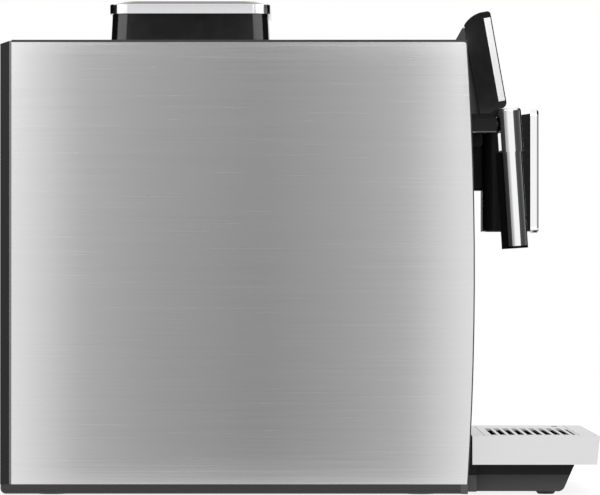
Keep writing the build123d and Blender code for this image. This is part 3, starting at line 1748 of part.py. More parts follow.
with BuildPart() as wand_spine:
    with BuildSketch(wand_plane.offset(-tube_end)):
        with Locations((0, spine_out / 2)):
            Rectangle(spine_half * 2, spine_out)
        Circle(tube_radius + spine_gap, mode=Mode.SUBTRACT)
    extrude(amount=tube_end - cap_drop)
    with BuildSketch(wand_plane.offset(-tube_end - spine_rim)):
        Circle(tube_radius)
        with Locations((0, spine_out / 2)):
            Rectangle(spine_half * 2, spine_out)
        Circle(tube_bore, mode=Mode.SUBTRACT)
    extrude(amount=spine_rim)
save(wand_spine, "wand_spine")


# Drip tray: plastic tub that slides into the casing, steel cover, lift-out grid and level float
tray_top = 45.0
tray_lean = 2.2
tray_rear_y = -131.0
tray_tail_gap = 12.0
tray_tail_y = frame_front_y - tray_tail_gap
tray_tail_half = 136.0
cover_sheet = 1.2
tub_wall = 2.5
tub_floor = 2.0
tub_top = tray_top - cover_sheet
grid_rear_rim = 10.0
grid_front_rim = 15.0
grid_rear_y = tray_rear_y - grid_rear_rim
grid_front_y = front_y + grid_front_rim
grid_half = 136.0
grid_gap = 0.4
slot_inset = 5.6
slot_width = 4.4
slot_pitch = 6.95
slot_near_x = -114.0
slot_far_x = 37.0
stub_near_x = 44.0
stub_far_x = 60.0
last_slot_width = 2.0
slot_first_y = grid_rear_y - slot_inset
slot_count = int((slot_first_y - last_slot_width - grid_front_y) / slot_pitch)
float_radius = 2.4
float_x = 114.0
float_inset = 8.0
float_y = grid_front_y + float_inset
float_body_radius = 9.0
float_body_height = 7.0
float_show = 0.3
tray_rib_x = 90.0
tray_rib_wall = 2.0

with BuildPart() as tray_cover:
    with BuildSketch(Plane.YZ):
        with BuildLine():
            Polyline(
                (front_y, tray_top),
                (tray_rear_y, tray_top),
                (tray_rear_y, tray_bottom),
                (front_y + tray_lean, tray_bottom),
                close=True,
            )
        make_face()
    extrude(amount=half_width, both=True)
    with BuildSketch(Plane.YZ):
        with BuildLine():
            Polyline(
                (front_y + cover_sheet, tub_top),
                (tray_rear_y + overrun, tub_top),
                (tray_rear_y + overrun, 0),
                (front_y + tray_lean + cover_sheet, 0),
                close=True,
            )
        make_face()
    extrude(amount=half_width - cover_sheet, both=True, mode=Mode.SUBTRACT)
    block(
        across(grid_half + grid_gap),
        (grid_front_y - grid_gap, grid_rear_y + grid_gap),
        (tub_top - overrun, tray_top + overrun),
        mode=Mode.SUBTRACT,
    )
save(tray_cover, "tray_cover")

tub_front_y = front_y + tray_lean + cover_sheet + slide_gap
tub_half = half_width - cover_sheet

with BuildPart() as drip_tray:
    block(across(tub_half), (tub_front_y, tray_rear_y), (tray_bottom, tub_top))
    block(across(tray_tail_half), (tray_rear_y, tray_tail_y), (tray_bottom, tub_top))
    block(
        across(tub_half - tub_wall),
        (tub_front_y + tub_wall, tray_rear_y - tub_wall),
        (tray_bottom + tub_floor, tray_top),
        mode=Mode.SUBTRACT,
    )
    block(
        across(tray_tail_half - tub_wall),
        (tray_rear_y - tub_wall - overrun, tray_tail_y - tub_wall),
        (tray_bottom + tub_floor, tray_top),
        mode=Mode.SUBTRACT,
    )
    for rib_x in (-tray_rib_x, tray_rib_x):
        block(
            (rib_x - tray_rib_wall / 2, rib_x + tray_rib_wall / 2),
            (tub_front_y + tub_wall, grid_rear_y + overrun),
            (tray_bottom + tub_floor, tub_top),
        )
save(drip_tray, "drip_tray")

with BuildPart() as drip_grid:
    block(across(grid_half), (grid_front_y, grid_rear_y), (tub_top, tray_top))
    with BuildSketch(Plane.XY.offset(tray_top)):
        for index in range(slot_count):
            slot_y = slot_first_y - slot_width / 2 - index * slot_pitch
            with Locations(((slot_near_x + slot_far_x) / 2, slot_y)):
                Rectangle(slot_far_x - slot_near_x, slot_width)
            with Locations(((stub_near_x + stub_far_x) / 2, slot_y)):
                Rectangle(stub_far_x - stub_near_x, slot_width)
        last_y = slot_first_y - last_slot_width / 2 - slot_count * slot_pitch
        with Locations(((slot_near_x + slot_far_x) / 2, last_y)):
            Rectangle(slot_far_x - slot_near_x, last_slot_width)
        with Locations((float_x, float_y)):
            Circle(float_radius + gap)
    extrude(amount=-cover_sheet, mode=Mode.SUBTRACT)
save(drip_grid, "drip_grid")

with BuildPart() as tray_float:
    with BuildSketch(Plane.XY.offset(tray_bottom + tub_floor)):
        with Locations((float_x, float_y)):
            Circle(float_body_radius)
    extrude(amount=float_body_height)
    with BuildSketch(Plane.XY.offset(tray_bottom + tub_floor)):
        with Locations((float_x, float_y)):
            Circle(float_radius)
    extrude(amount=tray_top + float_show - tray_bottom - tub_floor)
save(tray_float, "tray_float")


# Grounds drawer: bowed front flush with the fascia and a bin that slides on the fascia's shelf
drawer_gap = 0.5
drawer_back_y = -125.5
drawer_grip_half = 34.0
drawer_grip_radius = 7.0
drawer_grip_out = 2.3
drawer_inner = 20.0
bin_half = shelf_half - rim_wall - gap
bin_bottom = shelf_top + slide_gap
bin_top = 98.0
bin_wall = 2.2
bin_corner = 6.0

with BuildPart() as drawer_front:
    with BuildSketch(Plane.YZ):
        with BuildLine():
            bow_outline(fascia_lip, -drawer_inner)
        make_face()
    extrude(amount=drawer_half - drawer_gap, both=True)
    block(
        across(half_width),
        (-bow_middle * 2, drawer_back_y),
        (shelf_top + drawer_gap, drawer_top - drawer_gap),
        mode=Mode.INTERSECT,
    )
    with BuildSketch(Plane.YZ):
        with Locations((-bow_middle - fascia_lip - drawer_grip_out, drawer_top)):
            Circle(drawer_grip_radius)
    extrude(amount=drawer_grip_half, both=True, mode=Mode.SUBTRACT)
save(drawer_front, "drawer_front")

with BuildPart() as grounds_bin:
    with BuildSketch(Plane.XY.offset(bin_bottom)):
        with Locations((0, (drawer_back_y + bin_rear_y) / 2)):
            RectangleRounded(bin_half * 2, bin_rear_y - drawer_back_y, bin_corner)
    extrude(amount=bin_top - bin_bottom)
    offset(amount=-bin_wall, openings=grounds_bin.faces().sort_by(Axis.Z)[-1])
save(grounds_bin, "grounds_bin")


# Hoses and pipes inside the casing
hose_bend = 12.0
tight_bend = 5.0
tee_half = 6.0
heater_x = frame_half - heater_wide / 2
port_y = heater_y - heater_pad / 2
heater_top = heater_z + heater_tall + heater_port_length
pump_inlet_y = pump_y + pump_length + pump_nose_length
pump_outlet_y = pump_y - pump_nose_length
spigot_z = seat_top - seat_thick - seat_spigot
loop_z = 256.0
brew_port_x = 40.0
brew_port_spacing = 24.0
brew_port_y = brew_y + brew_port_spacing
steam_turn_reach = 24.0
steam_line_share = 0.4134
steam_end_y = -129.4
steam_turn_y = frame_front_y - steam_turn_reach
steam_line_y = steam_turn_y + (steam_end_y - steam_turn_y) * steam_line_share
backward = (0, 1, 0)
upward = (0, 0, 1)


def hose(points, bend, direction):
    """A round hose along straight runs joined by arcs, starting in the given direction."""
    with BuildLine() as route:
        FilletPolyline(*points, radius=bend)
    with BuildSketch(Plane(origin=points[0], z_dir=direction)) as section:
        Circle(hose_radius)
    sweep(section.sketch, path=route.line)


with BuildPart() as water_hoses:
    hose(
        [
            (pump_x, pump_inlet_y, pump_z),
            (pump_x, tank_y, pump_z),
            (seat_x, tank_y, spigot_z),
        ],
        tight_bend,
        backward,
    )
    hose(
        [
            (pump_x, pump_outlet_y, pump_z),
            (pump_x, port_y, pump_z),
            (heater_x, port_y, pump_z),
            (heater_x, port_y, heater_z),
        ],
        hose_bend,
        (0, -1, 0),
    )
    hose(
        [
            (-heater_x, port_y, heater_z),
            (-heater_x, port_y, pump_z),
            (pump_x + hose_bend + tee_half, port_y, pump_z),
        ],
        hose_bend,
        (0, 0, -1),
    )
    block(
        (pump_x - tee_half, pump_x + hose_bend + tee_half),
        (port_y - tee_half, port_y + tee_half),
        (pump_z - tee_half, pump_z + tee_half),
    )
    hose(
        [
            (heater_x, port_y, heater_top),
            (heater_x, port_y, loop_z),
            (brew_port_x, brew_port_y, loop_z),
            (brew_port_x, brew_port_y, brew_top + brew_plate),
        ],
        tight_bend,
        upward,
    )
save(water_hoses, "water_hoses")

with BuildPart() as steam_pipe:
    hose(
        [
            (-heater_x, port_y, heater_top),
            (-heater_x, port_y, wand_pivot_z),
            (-heater_x, steam_turn_y, wand_pivot_z),
            (wand_x, steam_line_y, wand_pivot_z),
            (wand_x, steam_end_y, wand_pivot_z),
        ],
        hose_bend,
        upward,
    )
save(steam_pipe, "steam_pipe")
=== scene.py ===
# %% [markdown]
# # A bean to cup coffee machine
# The machine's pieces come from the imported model. This lesson gives them a camera, light and finishes. It
# also adds the moulding under the display head and the fine printed marks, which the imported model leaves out.

# %% Load the frame
import bmesh
import bpy
import numpy as np
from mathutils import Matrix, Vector


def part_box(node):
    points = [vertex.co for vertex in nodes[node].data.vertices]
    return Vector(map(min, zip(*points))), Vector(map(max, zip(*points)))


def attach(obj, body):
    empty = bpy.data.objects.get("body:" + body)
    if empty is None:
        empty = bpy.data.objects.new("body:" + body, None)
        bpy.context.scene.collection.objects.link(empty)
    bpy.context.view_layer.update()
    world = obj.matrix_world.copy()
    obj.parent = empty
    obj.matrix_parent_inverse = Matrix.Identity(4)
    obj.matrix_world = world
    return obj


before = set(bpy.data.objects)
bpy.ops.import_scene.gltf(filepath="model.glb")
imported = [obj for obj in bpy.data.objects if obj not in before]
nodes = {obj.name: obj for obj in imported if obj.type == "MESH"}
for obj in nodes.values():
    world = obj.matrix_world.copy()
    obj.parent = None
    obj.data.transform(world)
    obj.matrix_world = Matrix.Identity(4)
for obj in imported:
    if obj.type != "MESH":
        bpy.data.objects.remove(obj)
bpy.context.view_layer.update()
scene = bpy.context.scene
MM = 0.001

# %% [markdown]
# The picture is taken square on to the machine's left side. A long lens on a far camera gives its nearly
# parallel lines, and keeps the small change of size between near and far parts that an orthographic
# camera would lose. The camera stands a little below the point it looks at and a little to the front,
# which shows a sliver of the tray's top.

# %% Camera
picture_width_px = 600
millimetres_per_px = 0.76
sensor_width = 36.0
camera_distance = 3.9
camera_y, camera_z = -0.0152, 0.1598
aim_y, aim_z = 0.0, 0.1883
near_panel_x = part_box("left_side_panel")[0].x

camera_data = bpy.data.cameras.new("side_camera")
camera_data.sensor_width = sensor_width
camera_data.lens = sensor_width * camera_distance / (picture_width_px * millimetres_per_px * MM)
camera_data.clip_end = 50.0
camera = bpy.data.objects.new("side_camera", camera_data)
camera.location = (near_panel_x - camera_distance, camera_y, camera_z)
look = Vector((near_panel_x, aim_y, aim_z)) - camera.location
camera.rotation_euler = look.to_track_quat("-Z", "Y").to_euler()
scene.collection.objects.link(camera)
scene.camera = camera
print("lens in mm", round(camera_data.lens, 1))

# %% [markdown]
# Colours are written as sRGB hex values, as a paint chart gives them, but Blender mixes light in linear
# values, so one function converts each colour. A second one adds a shader node with all its settings and
# links in one call. The rest of the lesson is written with these two. The Standard view shows a colour as
# it is written, where the default one would soften it.

# %% Colours and nodes
scene.view_settings.view_transform = "Standard"


def linear(hex_colour):
    """An sRGB hex colour in linear values: c / 12.92 up to 0.04045, else ((c + 0.055) / 1.055) ** 2.4."""
    channels = np.array([int(hex_colour[i:i + 2], 16) for i in (1, 3, 5)]) / 255
    low, high = channels / 12.92, ((channels + 0.055) / 1.055) ** 2.4
    return (*np.where(channels <= 0.04045, low, high), 1.0)


def add_node(tree, kind, inputs=(), **settings):
    """Add one shader node with its settings. Each (socket, source) pair is a link or a value to set."""
    node = tree.nodes.new(kind)
    for name, value in settings.items():
        setattr(node, name, value)
    for socket, source in inputs:
        if isinstance(source, bpy.types.NodeSocket):
            tree.links.new(source, node.inputs[socket])
        else:
            node.inputs[socket].default_value = source
    return node


print("a mid grey in linear values", [round(float(value), 3) for value in linear("#808080")])

# %% [markdown]
# The machine was pictured in a white room. A world that is white for every ray would wash the blacks out,
# so only what looks at it sees white: the camera, mirror-like surfaces, and rays through a clear piece.
# For every other ray it is a plain pale grey, so colours come out about as they are written.

# %% World
room_strength = 0.62


def seen_directly(tree):
    """1 for rays from the camera, off a glossy surface or through a clear one, and 0 for all others."""
    rays = add_node(tree, "ShaderNodeLightPath").outputs
    mirrored = add_node(tree, "ShaderNodeMath", [(0, rays["Is Camera Ray"]), (1, rays["Is Glossy Ray"])],
                        operation="MAXIMUM")
    clear = add_node(tree, "ShaderNodeMath", [(0, mirrored.outputs[0]), (1, rays["Is Transmission Ray"])],
                     operation="MAXIMUM")
    return clear.outputs[0]


world = bpy.data.worlds.new("studio")
scene.world = world
world.use_nodes = True
room = world.node_tree
room.nodes.clear()
plain = add_node(room, "ShaderNodeBackground", [("Color", linear("#FFFFFF")), ("Strength", room_strength)])
white = add_node(room, "ShaderNodeBackground", [("Color", linear("#FFFFFF")), ("Strength", 1.0)])
mixed = add_node(room, "ShaderNodeMixShader",
                 [(0, seen_directly(room)), (1, plain.outputs[0]), (2, white.outputs[0])])
add_node(room, "ShaderNodeOutputWorld", [("Surface", mixed.outputs[0])])
print("room strength for soft light", room_strength)

# %% [markdown]
# Three large soft lamps model the form: one high over the machine, one high on the camera's side and
# one beyond it. They are too soft to leave hard shadows. They are hidden from glossy rays, because a
# bright square in the steel would give them away: the cards below make what the steel shows.

# %% Lamps
lamp_target = Vector((0.0, 0.0, 0.18))


def soft_box(name, place, width, watts):
    """A square area lamp of a width in metres that stands at a place and faces the machine."""
    data = bpy.data.lights.new(name, "AREA")
    data.shape, data.size, data.energy = "SQUARE", width, watts
    lamp = bpy.data.objects.new(name, data)
    lamp.location = place
    lamp.rotation_euler = (lamp_target - Vector(place)).to_track_quat("-Z", "Y").to_euler()
    lamp.visible_glossy = False
    scene.collection.objects.link(lamp)
    print(name, watts, "watts")


soft_box("top_box", (-0.2, -0.1, 1.8), 1.6, 14.0)
soft_box("side_box", (-1.8, -0.5, 1.2), 1.2, 10.0)
soft_box("far_box", (1.5, -0.6, 0.9), 1.0, 8.0)

# %% [markdown]
# The floor and the cards round the machine are flat sheets of four corners. They aren't part of the
# machine, and each gets a material of its own whose nodes are still to come.

# %% Flat sheets outside the machine


def flat_sheet(name, corners):
    """A flat sheet of four corners that isn't part of the machine, with an empty node tree for its paint."""
    mesh = bpy.data.meshes.new(name)
    mesh.from_pydata(corners, [], [(0, 1, 2, 3)])
    sheet = bpy.data.objects.new(name, mesh)
    scene.collection.objects.link(sheet)
    paint = bpy.data.materials.new(name)
    paint.use_nodes = True
    paint.node_tree.nodes.clear()
    mesh.materials.append(paint)
    return sheet, paint.node_tree


print("a sheet is made from its name and its four corners")

# %% [markdown]
# Steel, chrome and gloss plastic show what stands beside them, so a photographer builds the picture from
# cards. A card could be a lamp, but a sheet that glows in changing greys can draw a soft shade across a
# surface. Only reflections see the cards: the camera, the soft light and the shadows pass through.

# %% How a card is made


def card(name, one_end, other_end, heights, tones, strength=1.0):
    """An upright card between two (x, y) ends, from one height to another, that only glossy rays see.

    tones gives a colour at each share of the way from end to end. The share of a point is its dot product
    with the card's direction, counted from the first end.
    """
    (x1, y1), (x2, y2), (bottom, top) = one_end, other_end, heights
    sheet, tree = flat_sheet(name, [(x1, y1, bottom), (x2, y2, bottom), (x2, y2, top), (x1, y1, top)])
    sheet.visible_camera = sheet.visible_diffuse = sheet.visible_shadow = sheet.visible_transmission = False
    way = np.array((x2 - x1, y2 - y1, 0.0))
    way /= np.linalg.norm(way)
    place = add_node(tree, "ShaderNodeTexCoord")
    along = add_node(tree, "ShaderNodeVectorMath", [(0, place.outputs["Object"]), (1, way)],
                     operation="DOT_PRODUCT")
    first, last = float(way[:2] @ one_end), float(way[:2] @ other_end)
    share = add_node(tree, "ShaderNodeMapRange", [
        ("Value", along.outputs["Value"]), ("From Min", first), ("From Max", last)])
    ramp = add_node(tree, "ShaderNodeValToRGB", [("Fac", share.outputs["Result"])])
    stops = ramp.color_ramp.elements
    stops.remove(stops[1])
    for number, (position, colour) in enumerate(tones.items()):
        stop = stops.new(position) if number else stops[0]
        stop.position, stop.color = position, linear(colour)
    glow = add_node(tree, "ShaderNodeEmission", [("Color", ramp.outputs["Color"]), ("Strength", strength)])
    add_node(tree, "ShaderNodeOutputMaterial", [("Surface", glow.outputs[0])])


print("a card can now be placed by its name, its two ends, its heights and its tones")

# %% [markdown]
# A wide card stands close to each side panel. It is white at its two ends and grey in its middle, and it
# reaches a little above and below the panel, so the brushed steel shows that change evenly from top to
# bottom. The front card gives the spout's chrome plate a grey middle when it is seen from the front, and
# the low card shades it when it is seen from above on the machine's right. The small cap card stands
# behind the wand, below its arm, and gives the cap its bright rear edge.

# %% Cards beside the steel and the chrome
panel_tones = {0.0: "#FFFFFF", 0.15: "#C0C0C0", 0.30: "#ADADAD", 0.54: "#9C9C9C", 0.71: "#ACACAC",
               0.86: "#BFBFBF", 1.0: "#FFFFFF"}
panel_card_x, panel_card_foot = 0.26, -0.02
panel_rear, panel_front = 0.226, -0.133
left_card_top, right_card_top = 0.361, 0.3525
front_tones = {0.0: "#F0F0F0", 0.5: "#8E8E8E", 1.0: "#F0F0F0"}
low_tones = {0.0: "#5A5A5A", 0.6: "#B0B0B0", 1.0: "#F0F0F0"}
plain_white = {0.0: "#FFFFFF"}

for side, x, top in (("left", -panel_card_x, left_card_top), ("right", panel_card_x, right_card_top)):
    card(f"{side}_panel_card", (x, panel_rear), (x, panel_front), (panel_card_foot, top), panel_tones)
card("front_card", (-0.30, -0.90), (0.30, -0.90), (-0.05, 0.42), front_tones)
card("low_card", (0.05, -0.46), (0.42, -0.34), (0.0, 0.14), low_tones)
card("cap_card", (-0.1190, -0.1345), (-0.070, -0.1345), (0.262, 0.2755), plain_white)

# %% [markdown]
# Grey flags keep the white room out of dark gloss plastic. One faces the hopper's flat side and one the
# side of the display head, with a small bright card before it for the glint in the head's rear corner.
# Two that meet at an angle stand near the round wand, and draw the grey stripe down its front half.

# %% Flags near the machine
card("hopper_flag", (-0.61, 0.165), (-0.61, 0.035), (0.415, 0.52), {0.0: "#606060"})
card("head_flag", (-0.70, -0.128), (-0.70, -0.182), (0.312, 0.45), {0.0: "#8C8C8C"})
card("head_glint", (-0.69, -0.1450), (-0.69, -0.1505), (0.366, 0.389), plain_white)
wand_flag_foot, wand_flag_top = 0.12, 0.36
wand_flag_turn = (-0.103, -0.322)
card("wand_flag", (-0.245, -0.259), wand_flag_turn, (wand_flag_foot, wand_flag_top),
     {0.0: "#5A5A5A", 0.6: "#444444", 1.0: "#585858"})
card("wand_end_flag", wand_flag_turn, (-0.055, -0.300), (wand_flag_foot, wand_flag_top), {0.0: "#626262"})

# %% [markdown]
# Far out, a nearly black wall turns each corner of the room beyond the machine, and puts the dark edge on
# rounded corners. On the camera's side two bright boxes at each end, at the height of the hopper, light
# its rounded corners. A dark flag at each end, between boxes and wall, blackens the hopper's outer edges.

# %% Walls and boxes at both ends
nearly_black = {0.0: "#101010"}
room_half = 1.0
box_x, wall_x = -0.90, 0.30
hopper_y, side_box_gap, corner_wall_end = 0.09, 0.16, 0.40
wall_heights, side_box_heights = (-0.2, 1.2), (0.44, 0.75)
end_box_heights, end_flag_heights = (0.44, 0.80), (0.36, 0.80)
box_strength = 3.0
for end, where in ((-room_half, "front"), (room_half, "rear")):
    room_corner, wall_stop = (room_half, end), (room_half, corner_wall_end * end)
    card(f"{where}_edge_flag", (wall_x, end), room_corner, wall_heights, nearly_black)
    card(f"{where}_corner_flag", room_corner, wall_stop, wall_heights, nearly_black)
    box_start = (box_x, hopper_y + side_box_gap * end)
    card(f"{where}_side_box", box_start, (box_x, end), side_box_heights, plain_white, box_strength)
    card(f"{where}_end_box", (box_x, end), (-wall_x, end), end_box_heights, plain_white, box_strength)
    card(f"{where}_end_flag", (-wall_x, end), (wall_x, end), end_flag_heights, nearly_black)
    print("walls and boxes at the", where)

# %% [markdown]
# The floor is a wide sheet. Plain white paint would be brighter than white close to the lamps and greyer
# far away, with a horizon between the two. So its paint is a mid grey that takes the machine's shadow, and
# a glow that only the camera and reflections see lifts it to the room's white.

# %% Floor
half_floor = 6.0
floor_glow = 0.87
corner_signs = ((-1, -1), (1, -1), (1, 1), (-1, 1))
floor, floor_tree = flat_sheet("floor", [(x * half_floor, y * half_floor, 0.0) for x, y in corner_signs])
glow_share = add_node(floor_tree, "ShaderNodeMath", [(0, seen_directly(floor_tree)), (1, floor_glow)],
                      operation="MULTIPLY")
floor_paint = add_node(floor_tree, "ShaderNodeBsdfDiffuse", [("Color", linear("#7C7C7C"))])
glow = add_node(floor_tree, "ShaderNodeEmission",
                [("Color", linear("#FFFFFF")), ("Strength", glow_share.outputs[0])])
total = add_node(floor_tree, "ShaderNodeAddShader", [(0, floor_paint.outputs[0]), (1, glow.outputs[0])])
add_node(floor_tree, "ShaderNodeOutputMaterial", [("Surface", total.outputs[0])])
print(floor.name, "is", 2 * half_floor, "metres wide")

# %% [markdown]
# Every finish is one Principled surface. What makes it look real is small: grain in the mouldings,
# fine lines in brushed steel, faint waves in polished chrome. An image could carry them, but noise on
# Object coordinates has no seams, and its scale can be given in millimetres of the real surface.

# %% How a finish is made
materials = {}


def finish(name, colour, metallic, roughness, **extra):
    """Make a Principled material, keep it under its name, and return its node tree and shader."""
    material = bpy.data.materials.new(name)
    material.use_nodes = True
    shader = material.node_tree.nodes["Principled BSDF"]
    shader.inputs["Base Color"].default_value = linear(colour)
    shader.inputs["Metallic"].default_value = metallic
    shader.inputs["Roughness"].default_value = roughness
    for socket, value in extra.items():
        shader.inputs[socket.replace("_", " ")].default_value = value
    materials[name] = material
    return material.node_tree, shader


def grained(tree, shader, grain_mm, depth_mm, strength, detail=2.0):
    """Bump a surface with noise whose scale is 1 / grain size, and return the noise."""
    place = add_node(tree, "ShaderNodeTexCoord")
    grain = add_node(tree, "ShaderNodeTexNoise", [
        ("Vector", place.outputs["Object"]), ("Scale", 1 / (grain_mm * MM)), ("Detail", detail)])
    lift = add_node(tree, "ShaderNodeBump", [
        ("Height", grain.outputs["Fac"]), ("Strength", strength), ("Distance", depth_mm * MM)])
    tree.links.new(lift.outputs["Normal"], shader.inputs["Normal"])
    return grain.outputs["Fac"]


print("finishes are ready to be mixed")

# %% [markdown]
# The side panels and the tray are stainless steel, brushed from front to back: the lines lie along Y,
# so the light spreads up and down, and the panel keeps a soft change from its ends to its middle. Real
# brush lines are finer than a pixel of the picture, so these are drawn 0.6 to 0.75 mm apart to show.

# %% Stainless steel
# A Mix node's colour sockets share their names with its other sockets, so they are called by number.
MIX_A, MIX_B, MIX_RESULT = 6, 7, 2
line_length = 160
line_turn = (0.5, 0.4, 0.3)
line_depth_mm, line_strength, line_detail = 0.02, 0.035, 3.0
noise_low, noise_high = 0.25, 0.75


def brushed(name, colour, roughness, line_mm, along, contrast):
    """Brushed metal: noise of 1 / line width across the lines, and line_length times slower along their axis.

    The noise is turned by a few tenths of a radian, or the ends of its lines would stand in columns. Most
    of it lies between noise_low and noise_high, and that range moves the roughness by contrast both ways.
    """
    tree, shader = finish(name, colour, 1.0, roughness)
    scale = np.full(3, 1 / (line_mm * MM))
    scale["XYZ".index(along)] /= line_length
    place = add_node(tree, "ShaderNodeTexCoord")
    mapping = add_node(tree, "ShaderNodeMapping", [
        ("Vector", place.outputs["Object"]), ("Scale", scale), ("Rotation", line_turn)])
    noise = add_node(tree, "ShaderNodeTexNoise", [
        ("Vector", mapping.outputs["Vector"]), ("Scale", 1.0), ("Detail", line_detail)])
    lines = noise.outputs["Fac"]
    shade = add_node(tree, "ShaderNodeMapRange", [
        ("Value", lines), ("From Min", noise_low), ("From Max", noise_high),
        ("To Min", roughness - contrast), ("To Max", roughness + contrast)])
    tree.links.new(shade.outputs["Result"], shader.inputs["Roughness"])
    base = np.array(linear(colour)[:3])
    darker, lighter = base * (1 - contrast), np.minimum(base * (1 + contrast), 1)
    tone = add_node(tree, "ShaderNodeMix", [("Factor", lines), (MIX_A, (*darker, 1)), (MIX_B, (*lighter, 1))],
                    data_type="RGBA")
    tree.links.new(tone.outputs[MIX_RESULT], shader.inputs["Base Color"])
    lift = add_node(tree, "ShaderNodeBump", [
        ("Height", lines), ("Strength", line_strength), ("Distance", line_depth_mm * MM)])
    tree.links.new(lift.outputs["Normal"], shader.inputs["Normal"])


# The side panels' sheet: pale, with streaks of light and dark that run from front to back.
brushed("brushed_stainless", "#DEDEDE", 0.24, line_mm=0.75, along="Y", contrast=0.040)
# The tray's cover and grid: a duller, finer brush that stays an even grey.
brushed("tray_stainless", "#D8D8D8", 0.32, line_mm=0.60, along="Y", contrast=0.025)
print("steels", list(materials))

# %% [markdown]
# Chrome plate covers the wand and the spout's front, and a softer plate the hopper's ring. Its colour is
# nearly white, and everything it shows comes from the room. A perfect mirror looks drawn, so the plate
# has the long shallow waves that polishing leaves. The metals inside the casing are duller.

# %% Chrome and other metals


def polished(name, colour, roughness, wave_mm, depth_mm):
    """Polished, plated or cast metal: noise of 1 / wave length lifts a metallic surface by a small depth."""
    tree, shader = finish(name, colour, 1.0, roughness)
    grained(tree, shader, wave_mm, depth_mm, strength=0.15, detail=1.0)


# Bright chrome on the wand and the spout's plate: a clear mirror.
polished("chrome_plate", "#F5F5F6", 0.05, wave_mm=30, depth_mm=0.01)
# Satin chrome on the hopper's ring: its reflections run together.
polished("satin_chrome", "#E4E4E6", 0.10, wave_mm=20, depth_mm=0.01)
# Zinc plated sheet and screws: a dull grey.
polished("zinc_plate", "#A9ABAD", 0.38, wave_mm=12, depth_mm=0.02)
# Turned and ground steel of the burrs, rods and screw: smooth, darker than the sheet.
polished("machined_steel", "#9C9DA0", 0.25, wave_mm=6, depth_mm=0.01)
# Die cast aluminium of the two heaters: pale and rough from its mould.
polished("die_cast_aluminium", "#A7A7A8", 0.50, wave_mm=3, depth_mm=0.04)
print("metals", list(materials))

# %% [markdown]
# The black parts are ABS. The casing has a fine spark-eroded grain that makes it dark grey and dull, and
# the head, the keys and the hopper are polished. Plain black gloss would be one flat tone, so each
# moulding has a grain or a faint ripple, and its roughness changes with it. A real grain is about a tenth
# of a millimetre, finer than a pixel of the picture, so it is drawn about half a millimetre wide to show.

# %% Plastics
roughness_change = 0.04


def moulded(name, colour, roughness, grain_mm, depth_mm, **extra):
    """Moulded plastic: noise of 1 / grain size lifts the surface and moves its roughness both ways."""
    tree, shader = finish(name, colour, 0.0, roughness, **extra)
    grain = grained(tree, shader, grain_mm, depth_mm, strength=0.4)
    mottle = add_node(tree, "ShaderNodeMapRange", [
        ("Value", grain), ("To Min", roughness - roughness_change), ("To Max", roughness + roughness_change)])
    tree.links.new(mottle.outputs["Result"], shader.inputs["Roughness"])


# ABS with a spark-eroded grain, on the casing: dull dark grey.
moulded("grained_abs", "#343434", 0.48, grain_mm=0.5, depth_mm=0.03)
# ABS with a fine satin grain, on lids, dial, drawer and tub: a soft sheen.
moulded("satin_abs", "#2C2C2C", 0.36, grain_mm=0.7, depth_mm=0.01)
# ABS from a polished mould, on the head and the keys: black with clear reflections.
moulded("gloss_abs", "#0A0A0A", 0.09, grain_mm=6.0, depth_mm=0.002)
# The spout's ABS: half dull, with little shine, so it stays dark among bright cards.
moulded("spout_abs", "#1E1E1E", 0.26, grain_mm=6.0, depth_mm=0.002, Specular_IOR_Level=0.12)
# ABS tinted like smoked glass, on the hopper and its lid: gloss that is not quite black.
moulded("smoke_abs", "#161616", 0.14, grain_mm=8.0, depth_mm=0.003)
# The dark glass over the display: the clearest gloss on the machine.
moulded("front_glass", "#070708", 0.04, grain_mm=20.0, depth_mm=0.002)
# The display's panel behind it: near black with a blue cast.
moulded("screen_panel", "#0B0C0E", 0.18, grain_mm=2.0, depth_mm=0.002)
# A plain black moulding, for the level float.
moulded("float_plastic", "#161616", 0.35, grain_mm=1.0, depth_mm=0.01)
# Polystyrene of the water tank: clear with a cold tint.
moulded("clear_styrene", "#E2E8EC", 0.08, grain_mm=10.0, depth_mm=0.003, Transmission_Weight=0.92)
# Natural acetal of the gears and the brew unit: milky white.
moulded("natural_acetal", "#DAD7CC", 0.42, grain_mm=1.0, depth_mm=0.01)
print("plastics", len(materials), "finishes so far")

# %% [markdown]
# Besides the wand's black back, painted deeper black for the shade that falls on it, a few pieces are
# neither metal nor hard plastic: the rubber of feet and hoses, the lacquer on the motors, and the ink of
# the marks. They are mixed in the same way, because they are moulded or sprayed surfaces with a grain too.

# %% The wand's back in painted shade, rubber, lacquer and ink
# The wand's black back: a real black part, painted deeper black and without shine for the shade there.
moulded("spine_black_painted_shade", "#040404", 0.40, grain_mm=0.6, depth_mm=0.01, Specular_IOR_Level=0.03)
# Rubber of the feet and hoses: black, dusty and rough.
moulded("black_rubber", "#1C1C1C", 0.75, grain_mm=0.4, depth_mm=0.03)
# Sprayed lacquer on the motors and the pump: mid grey with a light ripple.
moulded("motor_lacquer", "#55575A", 0.35, grain_mm=1.5, depth_mm=0.01)
# Pad printed ink of the marks: flat pale grey.
moulded("pad_print_ink", "#D8D8D8", 0.45, grain_mm=0.3, depth_mm=0.004)
print("soft and painted finishes,", len(materials), "so far")
